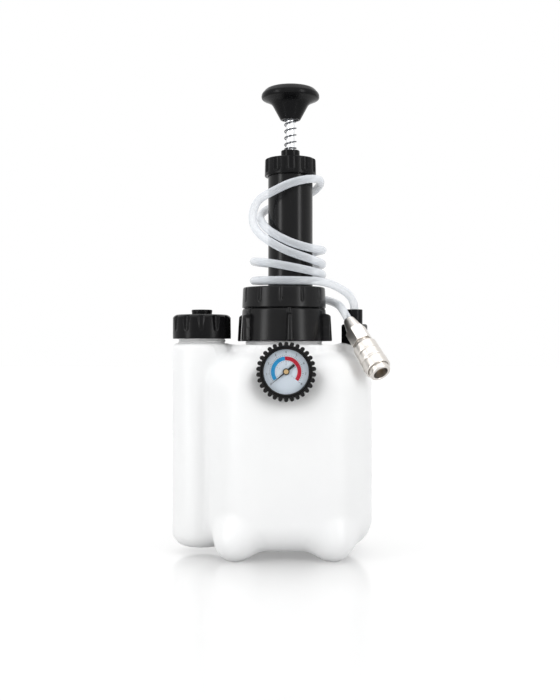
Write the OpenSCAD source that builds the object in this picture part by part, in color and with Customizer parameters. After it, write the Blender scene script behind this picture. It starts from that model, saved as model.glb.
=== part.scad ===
// Hand-pumped brake fluid bleeder: a blow-moulded tank with two chambers, a piston pump on its
// neck, a pressure gauge in its front, and a supply hose wound round the pump.
// The floor is z = 0, the front faces -Y, and the origin lies under the middle of the tank's plan.

/* [Tank] */
// Width of the main chamber
tank_w = 164; // [156:1:190]
// Depth of the main chamber
tank_d = 130; // [122:1:150]
// Height of the shoulder's flat top
tank_top = 200; // [196:1:206]
// Height of the main chamber's underside
tank_lift = 7.5; // [6.5:0.5:9]
// Radius of the upright corners
tank_corner_r = 55; // [46:1:58]
// Radius of the shoulder edge
shoulder_r = 36; // [28:1:40]
// Radius of the base edge
base_r = 28.5; // [24:0.5:32]
// Wall thickness of the moulding
tank_wall = 2.6; // [1.8:0.1:3.4]
// Distance of the neck axis left of the main chamber's middle
neck_shift = 4.5; // [0:0.5:8]
// Half the depth of the raised seat round the neck
seat_r = 41.5; // [41:0.5:43]
// Distance of the seat's left end left of the neck axis, to the middle of its round
seat_left = 12; // [12:0.5:14]
// Distance of the seat's right end right of the neck axis, to the middle of its round
seat_right = 20; // [16:0.5:22]
// Height of the raised seat above the shoulder
seat_rise = 6; // [4:0.5:8]
// Radius of a foot's ball
foot_r = 20; // [17:0.5:22]
// Depth of the flat worn on each foot
foot_flat = 0.5; // [0.3:0.1:1]
// Distance of the left and right feet's middles in from half the tank's width
foot_inset_x = 35.5; // [32:0.5:39]
// Distance of the front and rear feet's middles in from the tank's faces
foot_inset_y = 19; // [17:0.5:22]

/* [Neck and lid] */
// Radius over the neck's thread
neck_r = 38.5; // [37:0.5:39]
// Wall of the neck
neck_wall = 4.5; // [3:0.5:5]
// Height of the neck above its seat
neck_h = 26; // [24:0.5:28]
// Thickness of the flat gasket
gasket_t = 2; // [1:0.5:3]
// Thickness of the bonnet's flange
flange_t = 3.5; // [3:0.5:5]
// Radius of the bonnet's collar
collar_r = 33; // [31.5:0.5:34]
// Gap between the seat and the lid nut
lid_gap = 3.6; // [2.5:0.1:5]
// Thickness of the lid nut's deck
lid_deck_t = 4.5; // [4:0.5:6.5]
// Radius of the lid nut at its lower edge
lid_r = 43.5; // [42.5:0.5:44.5]
// Draft of the lid nut and its ribs
lid_draft = 2; // [1:0.1:2.4]
// Number of grip ribs on the lid nut
lid_ribs = 6; // [4:1:10]
// Radius of a grip rib's tip
lid_rib_r = 3.8; // [3.2:0.2:4.4]
// Distance of that tip's axis out from the lid nut's wall
lid_rib_out = 3.7; // [3:0.1:4.5]
// Radius of the pump ring
ring_r = 41.8; // [40:0.2:43]
// Gap between the lid nut and the pump ring
ring_gap = 0.6; // [0.5:0.1:1.5]
// Height of the pump ring
ring_h = 20.4; // [19.4:0.2:22]
// Number of narrow flutes in the pump ring
ring_flutes = 12; // [8:1:18]

/* [Pump] */
// Distance of the pump axis right of the neck axis
pump_shift = 6.4; // [3:0.2:7]
// Outer radius of the pump barrel
barrel_r = 22.2; // [21:0.2:23]
// Wall of the barrel
barrel_wall = 2.4; // [1.6:0.2:3]
// Length of the barrel below the neck's rim
barrel_drop = 102; // [92:1:112]
// Length of barrel between the pump ring and the pump cap
barrel_show = 111; // [108:1:117]
// Height of the pump cap
cap_h = 17.5; // [16:0.5:20]
// Thickness of the cap's deck
cap_deck_t = 4.5; // [3:0.5:5]
// Radius of the pump cap
cap_r = 25.7; // [25.5:0.1:27]
// Number of flutes in the pump cap
cap_flutes = 11; // [8:1:13]
// Radius of the cap's collar
cap_collar_r = 9.3; // [9:0.1:10]
// Height of the cap's collar above the deck
cap_collar_h = 8.5; // [7:0.5:9.5]
// Radius of the plunger rod
rod_r = 4.3; // [4:0.1:4.4]
// Radius of the piston
piston_r = 19.4; // [18.6:0.1:19.4]
// Thickness of the piston
piston_t = 10; // [8:0.5:14]
// Height of the piston above the barrel's foot with the knob down
piston_rest = 42; // [38:1:60]
// Gap between the pump cap's collar and the knob
knob_gap = 30.5; // [28:0.5:34]
// Height of the knob's crown above its lower edge
knob_h = 33.5; // [31:0.5:38]
// Radius of the knob's rim
knob_r = 28.9; // [26:0.1:32]
// Mean radius of the buffer spring
spring_r = 5.6; // [5.5:0.1:5.9]
// Wire diameter of the buffer spring
spring_wire = 1.3; // [1:0.1:1.3]
// Open turns of the buffer spring
spring_turns = 4; // [3:1:5]

/* [Waste chamber] */
// Radius of the waste chamber
waste_r = 29.5; // [28:0.5:32]
// Distance of its axis left of the neck axis
waste_reach = 82; // [80:0.5:90]
// Height of its shoulder above the main chamber's
waste_rise = 7.5; // [5:0.5:9]
// Height of its underside
waste_lift = 6.5; // [5:0.5:9]
// Radius of its base edge
waste_base_r = 15; // [10:1:20]
// Radius of its shoulder edge
waste_shoulder_r = 5; // [3.5:0.5:6]
// Radius over the waste neck's thread
waste_neck_r = 23.5; // [21.5:0.5:24]
// Height of the waste neck above its shoulder
waste_neck_h = 23.5; // [21.5:0.5:25.5]
// Radius of the waste cap
waste_cap_r = 29; // [27:0.5:29]
// Gap between the waste chamber's shoulder and its cap
waste_cap_gap = 4.5; // [3.5:0.5:6.5]
// Thickness of the waste cap's deck
waste_deck_t = 3; // [2.5:0.5:5]
// Radius of the button on the waste cap
button_r = 10.5; // [8:0.5:14]
// Height of the button on the waste cap
button_h = 5; // [3:0.5:8]
// Number of scallops round the waste cap
waste_scallops = 12; // [8:1:14]

/* [Gauge] */
// Distance of the gauge axis right of the neck axis
gauge_shift = 2; // [-2:0.5:4]
// Distance of the gauge axis below the shoulder
gauge_drop = 19; // [18:0.5:22]
// Radius of the dished recess in the tank's front, at its rim
dish_r = 40; // [37:0.5:43]
// Depth of the dished recess
dish_depth = 5; // [3:0.5:6]
// Radius of the boss that carries the gauge
gauge_boss_r = 19; // [16:0.5:20]
// Length of that boss
gauge_boss_l = 10; // [8:0.5:12]
// Radius of the rubber boot between its teeth
boot_r = 24.6; // [24.4:0.1:26]
// Height of the boot's teeth
tooth_h = 3.3; // [2.2:0.1:4]
// Width of a boot tooth
tooth_w = 4; // [3:0.1:4.2]
// Number of boot teeth
boot_teeth = 30; // [24:1:32]
// Depth of the boot, front to back
boot_l = 19; // [18.5:0.5:24]
// Radius of the gauge case
case_r = 22.4; // [22:0.1:22.4]
// Radius of the dial that shows
face_r = 20.8; // [19.5:0.1:21]
// Length of the needle from its axis to its tip
needle_l = 17.9; // [14:0.1:19]
// Angle of the needle at zero, from the right, turning left
needle_zero = 220; // [210:1:230]
// Radius of the gauge's threaded stem
stem_r = 5; // [4:0.1:6]

/* [Outlet] */
// Distance of the outlet axis in from the main chamber's right side
outlet_inset = 16.1; // [15.5:0.1:18.5]
// Radius of the outlet's seat on the tank
outlet_seat_r = 15; // [13.5:0.5:15.5]
// Height of the outlet's hexagon
outlet_hex_h = 19; // [16:0.5:22]
// Radius of the hexagon over its corners
outlet_hex_r = 13.4; // [13:0.1:14.5]
// Height of the hose socket
outlet_socket_h = 14.8; // [14:0.2:20]
// Radius of the hose socket
outlet_socket_r = 8.1; // [7:0.1:10]
// Radius of the threaded shank
outlet_shank_r = 6; // [5.5:0.1:7]
// Outer radius of the dip tube
dip_r = 3.2; // [2.6:0.1:3.6]
// Clearance of the dip tube's filter over the tank's floor
dip_clear = 2.2; // [1.5:0.1:10]

/* [Hose and coupler] */
// Outer diameter of the hose
hose_d = 8; // [6.4:0.2:8]
// Bore of the hose
hose_bore = 5; // [3:0.5:5.5]
// Length of the coupler's tail
tail_l = 33; // [31:0.5:35]
// Radius of the coupler's body
coupler_r = 8.7; // [8.5:0.1:8.9]
// Radius of the coupler's nose
nose_r = 10.2; // [10:0.1:10.5]
// Radius of the plug socket in the nose
socket_r = 7.2; // [6.8:0.1:7.4]
// Depth of the plug socket
socket_l = 18; // [17.5:0.5:19]
// Length of the coupler's body
body_l = 38.5; // [38.5:0.5:41]
// Radius of the sliding sleeve
sleeve_r = 12.5; // [12:0.1:13]
// Length of the sliding sleeve
sleeve_l = 31; // [29:0.5:31]
// Travel of the sliding sleeve
sleeve_travel = 3; // [2.5:0.5:3]

/* [Fits] */
// Running clearance of a shaft in its bush
run_gap = 0.05; // [0.02:0.01:0.09]
// Clearance of a fitted piece in its seat
seat_gap = 0.1; // [0.05:0.05:0.2]
// Clearance between pieces that move past each other
free_gap = 0.3; // [0.3:0.05:0.4]

/* [Hidden] */
$fn = 96;
eps = 1;

moulded_white = "#eef0ee";
pump_black = "#1b1c1e";
rubber_black = "#121212";
seal_grey = "#3a3c3e";
chrome = "#c9ccd0";
spring_steel = "#5d6166";
nickel = "#c8c2b8";
brass = "#b5924c";
dial_white = "#dfe8f2";
clear_plastic = "#e8eef4";
hose_milk = "#e9e7e4";

// The plan is centred between the waste chamber's left side and the main chamber's right side,
// and between the gauge's front and the main chamber's back.
frame_x = (waste_reach + waste_r - tank_w / 2 - neck_shift) / 2;
frame_y = (boot_l - dish_depth) / 2;
seat_top = tank_top + seat_rise;
neck_top = seat_top + neck_h;
neck_bore_r = neck_r - neck_wall;
flange_low = neck_top + gasket_t;
flange_top = flange_low + flange_t;
lid_low = seat_top + lid_gap;
lid_top = flange_top + lid_deck_t;
lid_rib_h = lid_top - lid_low - 7;
lid_web = lid_rib_r - 0.8 * lid_draft;
ring_low = lid_top + ring_gap;
ring_top = ring_low + ring_h;
ring_flute_r = 2.2;
ring_flute_foot = 5;
barrel_bore_r = barrel_r - barrel_wall;
barrel_low = neck_top - barrel_drop;
cap_low = ring_top + barrel_show;
cap_deck = cap_low + cap_h;
cap_ceiling = cap_deck - cap_deck_t;
collar_top = cap_deck + cap_collar_h;
piston_low = barrel_low + piston_rest;
knob_low = collar_top + knob_gap;
bush_r = cap_collar_r - 2.4;
cap_flute_r = 6;
cap_flute_depth = 2;
cap_crown = 0.6;
ring_deck_t = 4.6;
waste_top = tank_top + waste_rise;
waste_neck_top = waste_top + waste_neck_h;
liner_room = 2;
waste_ceiling = waste_neck_top + liner_room;
waste_cap_low = waste_top + waste_cap_gap;
waste_cap_deck = waste_ceiling + waste_deck_t;
scallop_out = 3.2;
dish_y = tank_d / 2 - dish_depth;
dish_floor_r = boot_r + tooth_h + 0.5;
gauge_z = tank_top - gauge_drop;
wall_low = tank_lift + base_r + eps;
wall_high = min(tank_top - shoulder_r, gauge_z - gauge_boss_r) - eps;
boot_back_t = 3;
case_wall = 0.8;
case_back_t = 1;
case_flange = 2;
stem_plate_z = boot_back_t + case_back_t;
stem_plate_l = 16.5;
stem_nut_t = 5;
movement_gap = 4.5;
movement_z = stem_plate_z + movement_gap;
dial_gap = 2.5;
dial_z = movement_z + dial_gap;
needle_gap = 1;
needle_z = dial_z + needle_gap;
lens_gap = 2;
lens_z = needle_z + lens_gap;
lens_t = 1.5;
arbor_r = 1;
stem_bore_r = stem_r + seat_gap;
outlet_reach = neck_shift + tank_w / 2 - outlet_inset;
outlet_z = seat_top + 1.5;
outlet_top = outlet_z + outlet_hex_h + outlet_socket_h;
hose_r = hose_d / 2;
hose_plug = 8.5;
washer_t = 1.5;
spring_top = knob_low + 1.2;
stub_r = 3;
cup_t = 3;
piston_nut_t = 5;
valve_plate_t = 3;
valve_lift = 1.2;
valve_spigot_l = 7;
filter_r = dip_r + 2;
dip_low = floor_height(outlet_reach + filter_r) + dip_clear;
coupler_at = [63.7, -18, seat_top + 24];
coupler_turn = [0, 135.4, -56.8];
tail_cone_l = 15;
tail_hex_r = 10.8;
coil_gap = 0.5;
nose_l = 7.5;
nose_low = tail_l + body_l - nose_l;
sleeve_lap = 2;
sleeve_low = nose_low + sleeve_lap - sleeve_l;
sleeve_mouth_l = 4.2;
land_l = 11;
spring_room_r = coupler_r + 0.9;
sleeve_wire = 0.5;
sleeve_turns = 4;
sleeve_spring_l = (sleeve_turns + 2) * (sleeve_wire + coil_gap) + sleeve_travel + 1;
sleeve_spring_z = sleeve_low + sleeve_l - land_l - sleeve_spring_l;
seat_flange_t = 2;
ball_count = 6;
ball_r = 1.6;
ball_depth = 12.2;
socket_lip = 10.3;
valve_r = 5.6;
valve_wire = 0.6;
valve_room_z = tail_l + 4;
valve_seat_z = tail_l + body_l - socket_l - 4;
valve_head_t = 2.2;

// Hose route from the neck's axis, with heights above the seat: out of the outlet, two low turns
// leftwards round the pump, a bight on the left, one high turn back, and down behind to the coupler.
turn_x = 4;
turn_r = 34.4;
turn_step = 36;
turn_start = -54;
turn_z = [62.4, 62.4, 62.8, 63.5, 64.4, 65.4, 66.4, 67.6, 69, 70.4, 72.4, 76, 80, 82.5, 83.5, 83.2, 82, 80.7,
    80.1, 80.8, 84, 90.5];
low_turns = [for (i = [0:len(turn_z) - 1]) let (turn = turn_start - turn_step * i)
    [turn_x + turn_r * cos(turn), turn_r * sin(turn), turn_z[i]]];
way_out = [[69, -1, 43], [64, -4.6, 50.2], [55, -10.4, 56], [44.5, -16.4, 60.3], [33.8, -22.6, 62.2]];
high_turn = [[-12.5, -29.5, 99.5], [-23.5, -19.5, 108.5], [-29, -14.5, 116.5], [-31, -13, 126],
    [-29, -14.5, 135.5], [-23.5, -19.5, 143], [-12.5, -28, 148.3], [5, -34, 155.8], [22, -29, 160.8],
    [34, -13, 163], [36, 6, 161], [29, 22, 156], [13, 32.5, 150], [-6, 30.5, 144], [-19, 18, 136.5],
    [-23.5, 1, 126.5], [-15, -21, 112.5], [4, -32, 100.6], [22, -28.5, 95], [35.5, -13, 94], [38.5, 2, 94.5],
    [35, 17, 95], [24, 30.5, 93], [14, 41.5, 86], [10, 45.5, 74.5], [14, 46, 62.5], [24, 44, 54.5],
    [35, 36, 49], [44, 23, 45.5], [50.5, 8.5, 42.5], [56.4, -7.5, 37.2]];
hose_route = concat(
    [[outlet_reach, 0, outlet_top - hose_plug], [outlet_reach, 0, outlet_top]],
    [for (p = concat(way_out, low_turns, high_turn)) p + [0, 0, seat_top]],
    [coupler_point(0), coupler_point(hose_plug)]);
hose_steps = 3;
hose_sides = 8;
gap_steps = 6;
spring_sides = 6;
spring_rings = 8;

// Height of the main chamber's floor inside, at a distance right of the neck's axis
function floor_height(x) = tank_lift + base_r
    - sqrt(pow(base_r - tank_wall, 2) - pow(max(0, x - neck_shift - tank_w / 2 + base_r), 2));

// Point on the coupler's axis, a distance past its hose end
function coupler_point(along) = coupler_at + along * coupler_axis();
function coupler_axis() = let (tilt = coupler_turn.y, turn = coupler_turn.z)
    [sin(tilt) * cos(turn), sin(tilt) * sin(turn), cos(tilt)];

// Smooth curve through hand-chosen points, with a number of steps in each span
function unit(v) = v / norm(v);
function span_point(a, b, c, d, t) = 0.5 * (2 * b + (c - a) * t + (2 * a - 5 * b + 4 * c - d) * t * t
    + (3 * b - a - 3 * c + d) * t * t * t);
function smooth_route(p, steps) = let (last = len(p) - 1) concat(
    [for (i = [0:last - 1], k = [0:steps - 1])
        span_point(i == 0 ? 2 * p[0] - p[1] : p[i - 1], p[i], p[i + 1],
            i == last - 1 ? 2 * p[last] - p[last - 1] : p[i + 2], k / steps)], [p[last]]);

// Tube of triangles round a row of points: rings are carried along without twisting
function tangents(p) = [for (i = [0:len(p) - 1]) unit(p[min(i + 1, len(p) - 1)] - p[max(i - 1, 0)])];
function squared_to(n, t) = unit(n - (n * t) * t);
function carried(t, i, n) = i == len(t) ? []
    : let (m = squared_to(n, t[i])) concat([m], carried(t, i + 1, m));
function ring_points(p, r, sides) = let (t = tangents(p), n = carried(t, 0, [0.31, 0.82, 0.47]))
    [for (i = [0:len(p) - 1], k = [0:sides - 1])
        p[i] + r * (cos(360 * k / sides) * n[i] + sin(360 * k / sides) * cross(t[i], n[i]))];
function ring_faces(rings, sides) = concat(
    [for (i = [0:rings - 2], k = [0:sides - 1], half = [0, 1])
        let (a = i * sides + k, b = i * sides + (k + 1) % sides)
        half == 0 ? [a, a + sides, b + sides] : [a, b + sides, b]],
    [for (k = [1:sides - 2]) [0, k, k + 1]],
    [for (k = [1:sides - 2]) let (last = (rings - 1) * sides) [last, last + k + 1, last + k]]);
module swept_tube(p, r, sides) polyhedron(ring_points(p, r, sides), ring_faces(len(p), sides));

// Least gap of a tube to itself, leaving out points that lie close along it
function least_gap(p, d, apart) = min([for (i = [0:len(p) - 1 - apart], j = [i + apart:len(p) - 1])
    norm(p[i] - p[j])]) - d;

// Helix with closed end turns, rising from 0 to height
function helix(r, wire, height, turns, rings) = let (close = wire + coil_gap, count = (turns + 2) * rings,
    rise = (height - wire - 2 * close) / turns)
    [for (i = [0:count]) let (turn = i / rings, open = max(0, min(turns, turn - 1)))
        [r * cos(360 * turn), r * sin(360 * turn), wire / 2 + (turn - open) * close + open * rise]];

// Places
module in_frame() translate([frame_x, frame_y, 0]) children();
module at_pump() in_frame() translate([pump_shift, 0, 0]) children();
module at_waste() in_frame() translate([-waste_reach, 0, 0]) children();
module at_outlet() in_frame() translate([outlet_reach, 0, 0]) children();
module at_gauge() in_frame() translate([gauge_shift, -dish_y, gauge_z]) rotate([90, 0, 0]) children();
module at_coupler() in_frame() translate(coupler_at) rotate(coupler_turn) children();

// Shapes that repeat
module tube(outer, inner, low, high) translate([0, 0, low]) difference() {
    cylinder(r = outer, h = high - low);
    translate([0, 0, -eps]) cylinder(r = inner, h = high - low + 2 * eps);
}
module disc(r, low, high) translate([0, 0, low]) cylinder(r = r, h = high - low);
module o_ring(mean_r, wire_r, z) translate([0, 0, z]) rotate_extrude() translate([mean_r, 0]) circle(wire_r);
module hex_nut(flats, bore, low, high) translate([0, 0, low]) difference() {
    cylinder(r = flats / sqrt(3), h = high - low, $fn = 6);
    translate([0, 0, -eps]) cylinder(r = bore, h = high - low + 2 * eps);
}

// Upright section from an axis out to a wall, with a round edge at its top and its base
module edge_cut(r) difference() {
    square(r + eps);
    circle(r);
}
module wall_section(reach, low, high, low_r, high_r) difference() {
    translate([0, low]) square([reach, high - low]);
    translate([reach - high_r, high - high_r]) edge_cut(high_r);
    translate([reach - low_r, low + low_r]) mirror([0, 1]) edge_cut(low_r);
}

// Box with round upright corners and round edges: four corner posts, two sides and a middle
module chamber(w, d, low, high, corner_r, low_r, high_r) {
    side = w / 2 - corner_r;
    front = d / 2 - corner_r;
    for (turn = [0:3])
        translate([(turn == 0 || turn == 3 ? 1 : -1) * side, (turn < 2 ? 1 : -1) * front, 0])
            rotate(90 * turn) rotate_extrude(angle = 90) wall_section(corner_r, low, high, low_r, high_r);
    for (turn = [0, 180])
        rotate(turn) translate([side, front, 0]) rotate([90, 0, 0])
            linear_extrude(2 * front) wall_section(corner_r, low, high, low_r, high_r);
    for (turn = [90, 270])
        rotate(turn) translate([front, side, 0]) rotate([90, 0, 0])
            linear_extrude(2 * side) wall_section(corner_r, low, high, low_r, high_r);
    translate([-side, -front, low]) cube([2 * side, 2 * front, high - low]);
}
module main_chamber(inset) translate([neck_shift, 0, 0])
    chamber(tank_w - 2 * inset, tank_d - 2 * inset, tank_lift + inset, tank_top - inset,
        tank_corner_r - inset, base_r - inset, shoulder_r - inset);
module waste_chamber(inset) translate([-waste_reach, 0, 0]) rotate_extrude()
    wall_section(waste_r - inset, waste_lift + inset, waste_top - inset, waste_base_r - inset,
        waste_shoulder_r - inset);
module seat(inset, low, high) {
    for (x = [-seat_left, seat_right]) translate([x, 0, 0]) disc(seat_r - inset, low, high);
    translate([-seat_left, inset - seat_r, low])
        cube([seat_left + seat_right, 2 * (seat_r - inset), high - low]);
}
module slab(low, high) translate([-tank_w, -tank_d, low]) cube([2 * tank_w, 2 * tank_d, high - low]);
module dish(back) translate([gauge_shift, -dish_y, gauge_z]) rotate([-90, 0, 0])
    translate([0, 0, back - 2 * dish_depth])
        cylinder(r1 = 2 * dish_r - dish_floor_r, r2 = dish_floor_r, h = 2 * dish_depth);
module from_front(r, depth_from, depth_to) translate([gauge_shift, -dish_y, gauge_z]) rotate([-90, 0, 0])
    translate([0, 0, depth_from]) cylinder(r = r, h = depth_to - depth_from);

// Tank: one moulding, kept as its walls, base, shoulder, waste chamber and feet
module tank_outside() {
    main_chamber(0);
    seat(0, tank_top - 2 * shoulder_r / 3, seat_top);
    disc(neck_r, seat_top - eps, neck_top);
    translate([outlet_reach, 0, 0]) disc(outlet_seat_r, tank_top - shoulder_r, seat_top);
    difference() {
        from_front(gauge_boss_r, 0, shoulder_r);
        disc(neck_bore_r, 0, neck_top);
    }
}
module tank_inside() {
    difference() {
        union() {
            main_chamber(tank_wall);
            seat(tank_wall, tank_top - 2 * shoulder_r / 3, seat_top - tank_wall);
        }
        translate([-waste_reach, 0, 0]) disc(waste_r - tank_wall / 2, 0, tank_top + shoulder_r);
        dish(tank_wall);
        from_front(gauge_boss_r, 0, gauge_boss_l);
    }
    disc(neck_bore_r, tank_top - shoulder_r, neck_top + eps);
}
module tank_shell() difference() {
    tank_outside();
    tank_inside();
    waste_chamber(0);
    dish(0);
    from_front(stem_bore_r, -eps, gauge_boss_l + 3 * eps);
    translate([outlet_reach, 0, 0])
        disc(outlet_shank_r + seat_gap, tank_top - 2 * shoulder_r, seat_top + eps);
}
module tank() color(moulded_white) in_frame() intersection() {
    tank_shell();
    slab(wall_low, wall_high);
}
module tank_base() color(moulded_white) in_frame() intersection() {
    tank_shell();
    slab(0, wall_low);
}
module tank_shoulder() color(moulded_white) in_frame() intersection() {
    tank_shell();
    slab(wall_high, neck_top + eps);
}
module waste_tank() color(moulded_white) in_frame() difference() {
    union() {
        waste_chamber(0);
        translate([-waste_reach, 0, 0]) disc(waste_neck_r, waste_top - eps, waste_neck_top);
    }
    waste_chamber(tank_wall);
    translate([-waste_reach, 0, 0])
        disc(waste_neck_r - tank_wall, waste_top - waste_base_r, waste_neck_top + eps);
}
module tank_feet() color(moulded_white) in_frame() difference() {
    for (x = [-1, 1], y = [-1, 1])
        translate([x * (tank_w / 2 - foot_inset_x), y * (tank_d / 2 - foot_inset_y), foot_r - foot_flat])
            sphere(foot_r);
    main_chamber(0);
    translate([-tank_w, -tank_d, -2 * foot_r]) cube([2 * tank_w, 2 * tank_d, 2 * foot_r]);
}

// Waste cap: a screw cap with wide scallops that fade out towards its lower edge
module waste_cap() color(pump_black) at_waste() difference() {
    union() {
        rotate_extrude() polygon([[0, waste_cap_low], [waste_cap_r, waste_cap_low],
            [waste_cap_r, waste_cap_deck - 2.5], [waste_cap_r - 3.5, waste_cap_deck], [0, waste_cap_deck]]);
        rotate_extrude() polygon([[0, waste_cap_deck - eps], [button_r - 0.6, waste_cap_deck - eps],
            [button_r, waste_cap_deck + button_h - 1], [button_r - 1, waste_cap_deck + button_h],
            [0, waste_cap_deck + button_h]]);
    }
    disc(waste_neck_r + free_gap, waste_cap_low - eps, waste_ceiling);
    for (i = [0:waste_scallops - 1]) rotate(360 * (i + 0.1) / waste_scallops)
        translate([waste_cap_r + scallop_out, 0, waste_cap_low + 5])
            cylinder(r1 = scallop_out + 0.3, r2 = scallop_out + 2.6, h = waste_cap_deck - waste_cap_low);
}
module waste_liner() color(seal_grey) at_waste()
    disc(waste_neck_r - seat_gap, waste_neck_top + free_gap, waste_ceiling - free_gap);

// Lid nut: a drafted ring with round-tipped ribs, screwed over the neck
module lid_nut() color(pump_black) in_frame() difference() {
    union() {
        rotate_extrude() polygon([[0, lid_low], [lid_r - 1, lid_low], [lid_r, lid_low + 1],
            [lid_r - lid_draft, lid_top - 2.4], [lid_r - lid_draft - 2.4, lid_top], [0, lid_top]]);
        for (i = [0:lid_ribs - 1]) rotate(360 * i / lid_ribs - 83) {
            translate([lid_r + lid_rib_out, 0, lid_low])
                cylinder(r1 = lid_rib_r, r2 = lid_rib_r - 0.8 * lid_draft, h = lid_rib_h);
            translate([lid_r + lid_rib_out, 0, lid_low + lid_rib_h])
                cylinder(r1 = lid_rib_r - 0.8 * lid_draft, r2 = lid_rib_r - 1.4 * lid_draft, h = 1.5);
            translate([neck_r + 2, -lid_web, lid_low])
                cube([lid_r + lid_rib_out - neck_r - 2, 2 * lid_web, lid_rib_h]);
        }
    }
    disc(neck_r + free_gap, lid_low - eps, flange_top);
    disc(collar_r + free_gap, lid_low, lid_top + eps);
}
module neck_gasket() color(seal_grey) in_frame() tube(neck_r - seat_gap, neck_bore_r, neck_top, flange_low);

// Bonnet: the flange and collar that hold the pump barrel off-centre in the neck
module pump_bonnet() color(pump_black) difference() {
    in_frame() {
        disc(neck_bore_r - free_gap, neck_top - 8, flange_low);
        disc(neck_r - seat_gap, flange_low, flange_top);
        disc(collar_r, flange_top, ring_top - ring_deck_t);
    }
    at_pump() {
        disc(barrel_r + seat_gap, neck_top - 9, ring_top);
        disc(barrel_r + 2.4, lid_top + 4, lid_top + 7.2);
    }
}
module barrel_seal() color(rubber_black) at_pump() o_ring(barrel_r + 1.25, 1.15, lid_top + 5.6);

// Pump ring: the fluted cover over the bonnet's collar
module pump_ring() color(pump_black) difference() {
    in_frame() difference() {
        rotate_extrude() polygon([[0, ring_low], [ring_r - 0.8, ring_low], [ring_r, ring_low + 0.8],
            [ring_r - 0.9, ring_top - 1.4], [ring_r - 2.3, ring_top], [0, ring_top]]);
        disc(collar_r + seat_gap, ring_low - eps, ring_top - ring_deck_t);
        for (i = [0:ring_flutes - 1]) rotate(360 * i / ring_flutes - 94.4) translate([ring_r + 0.6, 0, 0])
            disc(ring_flute_r, ring_low + ring_flute_foot, ring_top + eps);
    }
    at_pump() disc(barrel_r + free_gap, ring_low, ring_top + eps);
}

// Pump barrel with its foot valve
module pump_barrel() color(pump_black) at_pump() tube(barrel_r, barrel_bore_r, barrel_low, cap_ceiling);
module check_valve_seat() color(pump_black) at_pump() difference() {
    union() {
        disc(barrel_r, barrel_low - valve_plate_t, barrel_low);
        disc(barrel_bore_r - seat_gap, barrel_low, barrel_low + valve_spigot_l);
    }
    disc(stub_r - 1 + seat_gap, barrel_low - valve_plate_t - eps, barrel_low + valve_spigot_l + eps);
    for (i = [0:5]) rotate(60 * i) translate([barrel_bore_r / 2 - 1, 0, 0])
        disc(2.2, barrel_low - valve_plate_t - eps, barrel_low + valve_spigot_l + eps);
}
module check_valve_disc() color(rubber_black) at_pump()
    tube(barrel_bore_r * 0.75, stub_r - 0.5, barrel_low - valve_plate_t - free_gap - 1.6,
        barrel_low - valve_plate_t - free_gap);
module check_valve_screw() color(spring_steel) at_pump() {
    head = barrel_low - valve_plate_t - 2 * free_gap - 1.6 - valve_lift;
    disc(stub_r - 1, head - eps, barrel_low + valve_spigot_l - eps);
    disc(stub_r + 1.6, head - 2.4, head);
}

// Pump cap: a screw cap with wide flutes and a guide collar
module pump_cap() color(pump_black) at_pump() difference() {
    rotate_extrude() polygon([[0, cap_low], [cap_r, cap_low], [cap_r - 0.4, cap_deck - 1.6],
        [cap_r - 2, cap_deck - 0.2], [cap_collar_r + 3, cap_deck + cap_crown], [0, cap_deck + cap_crown]]);
    disc(barrel_r + seat_gap, cap_low - eps, cap_ceiling);
    disc(bush_r, cap_ceiling - eps, collar_top + eps);
    for (i = [0:cap_flutes - 1]) rotate(360 * (i + 0.28) / cap_flutes)
        translate([cap_r + cap_flute_r - cap_flute_depth, 0, cap_low + 2.4]) {
            cylinder(r1 = cap_flute_r - cap_flute_depth - 0.3, r2 = cap_flute_r, h = 3);
            translate([0, 0, 3]) cylinder(r = cap_flute_r, h = cap_h);
        }
}
module pump_collar() color(pump_black) at_pump() difference() {
    rotate_extrude() polygon([[0, cap_deck + cap_crown], [cap_collar_r, cap_deck + cap_crown],
        [cap_collar_r, collar_top - 1.2], [cap_collar_r - 1.2, collar_top], [0, collar_top]]);
    disc(bush_r, cap_ceiling - eps, collar_top + eps);
}
module rod_bush() color(seal_grey) at_pump() difference() {
    union() {
        disc(bush_r - seat_gap, cap_ceiling - eps, collar_top - 0.6);
        disc(bush_r + 3, cap_ceiling - 3, cap_ceiling);
    }
    disc(rod_r + run_gap, cap_ceiling - 4, collar_top);
    disc(rod_r + 1.9, cap_ceiling + 4, cap_ceiling + 6.4);
}
module rod_seal() color(rubber_black) at_pump() o_ring(rod_r + 1, 0.85, cap_ceiling + 5.2);

// Buffer spring between the cap's collar and the knob, under a loose washer
module buffer_spring() color(spring_steel) at_pump() {
    wire = helix(spring_r, spring_wire, spring_top - collar_top - 0.1, spring_turns, spring_rings);
    echo(buffer_spring_gap = least_gap(wire, spring_wire, spring_rings));
    translate([0, 0, collar_top + 0.05]) swept_tube(wire, spring_wire / 2, spring_sides);
}
module spring_washer() color(spring_steel) at_pump()
    tube(spring_r + 1.6, rod_r + 2 * free_gap, spring_top, spring_top + washer_t);

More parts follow.
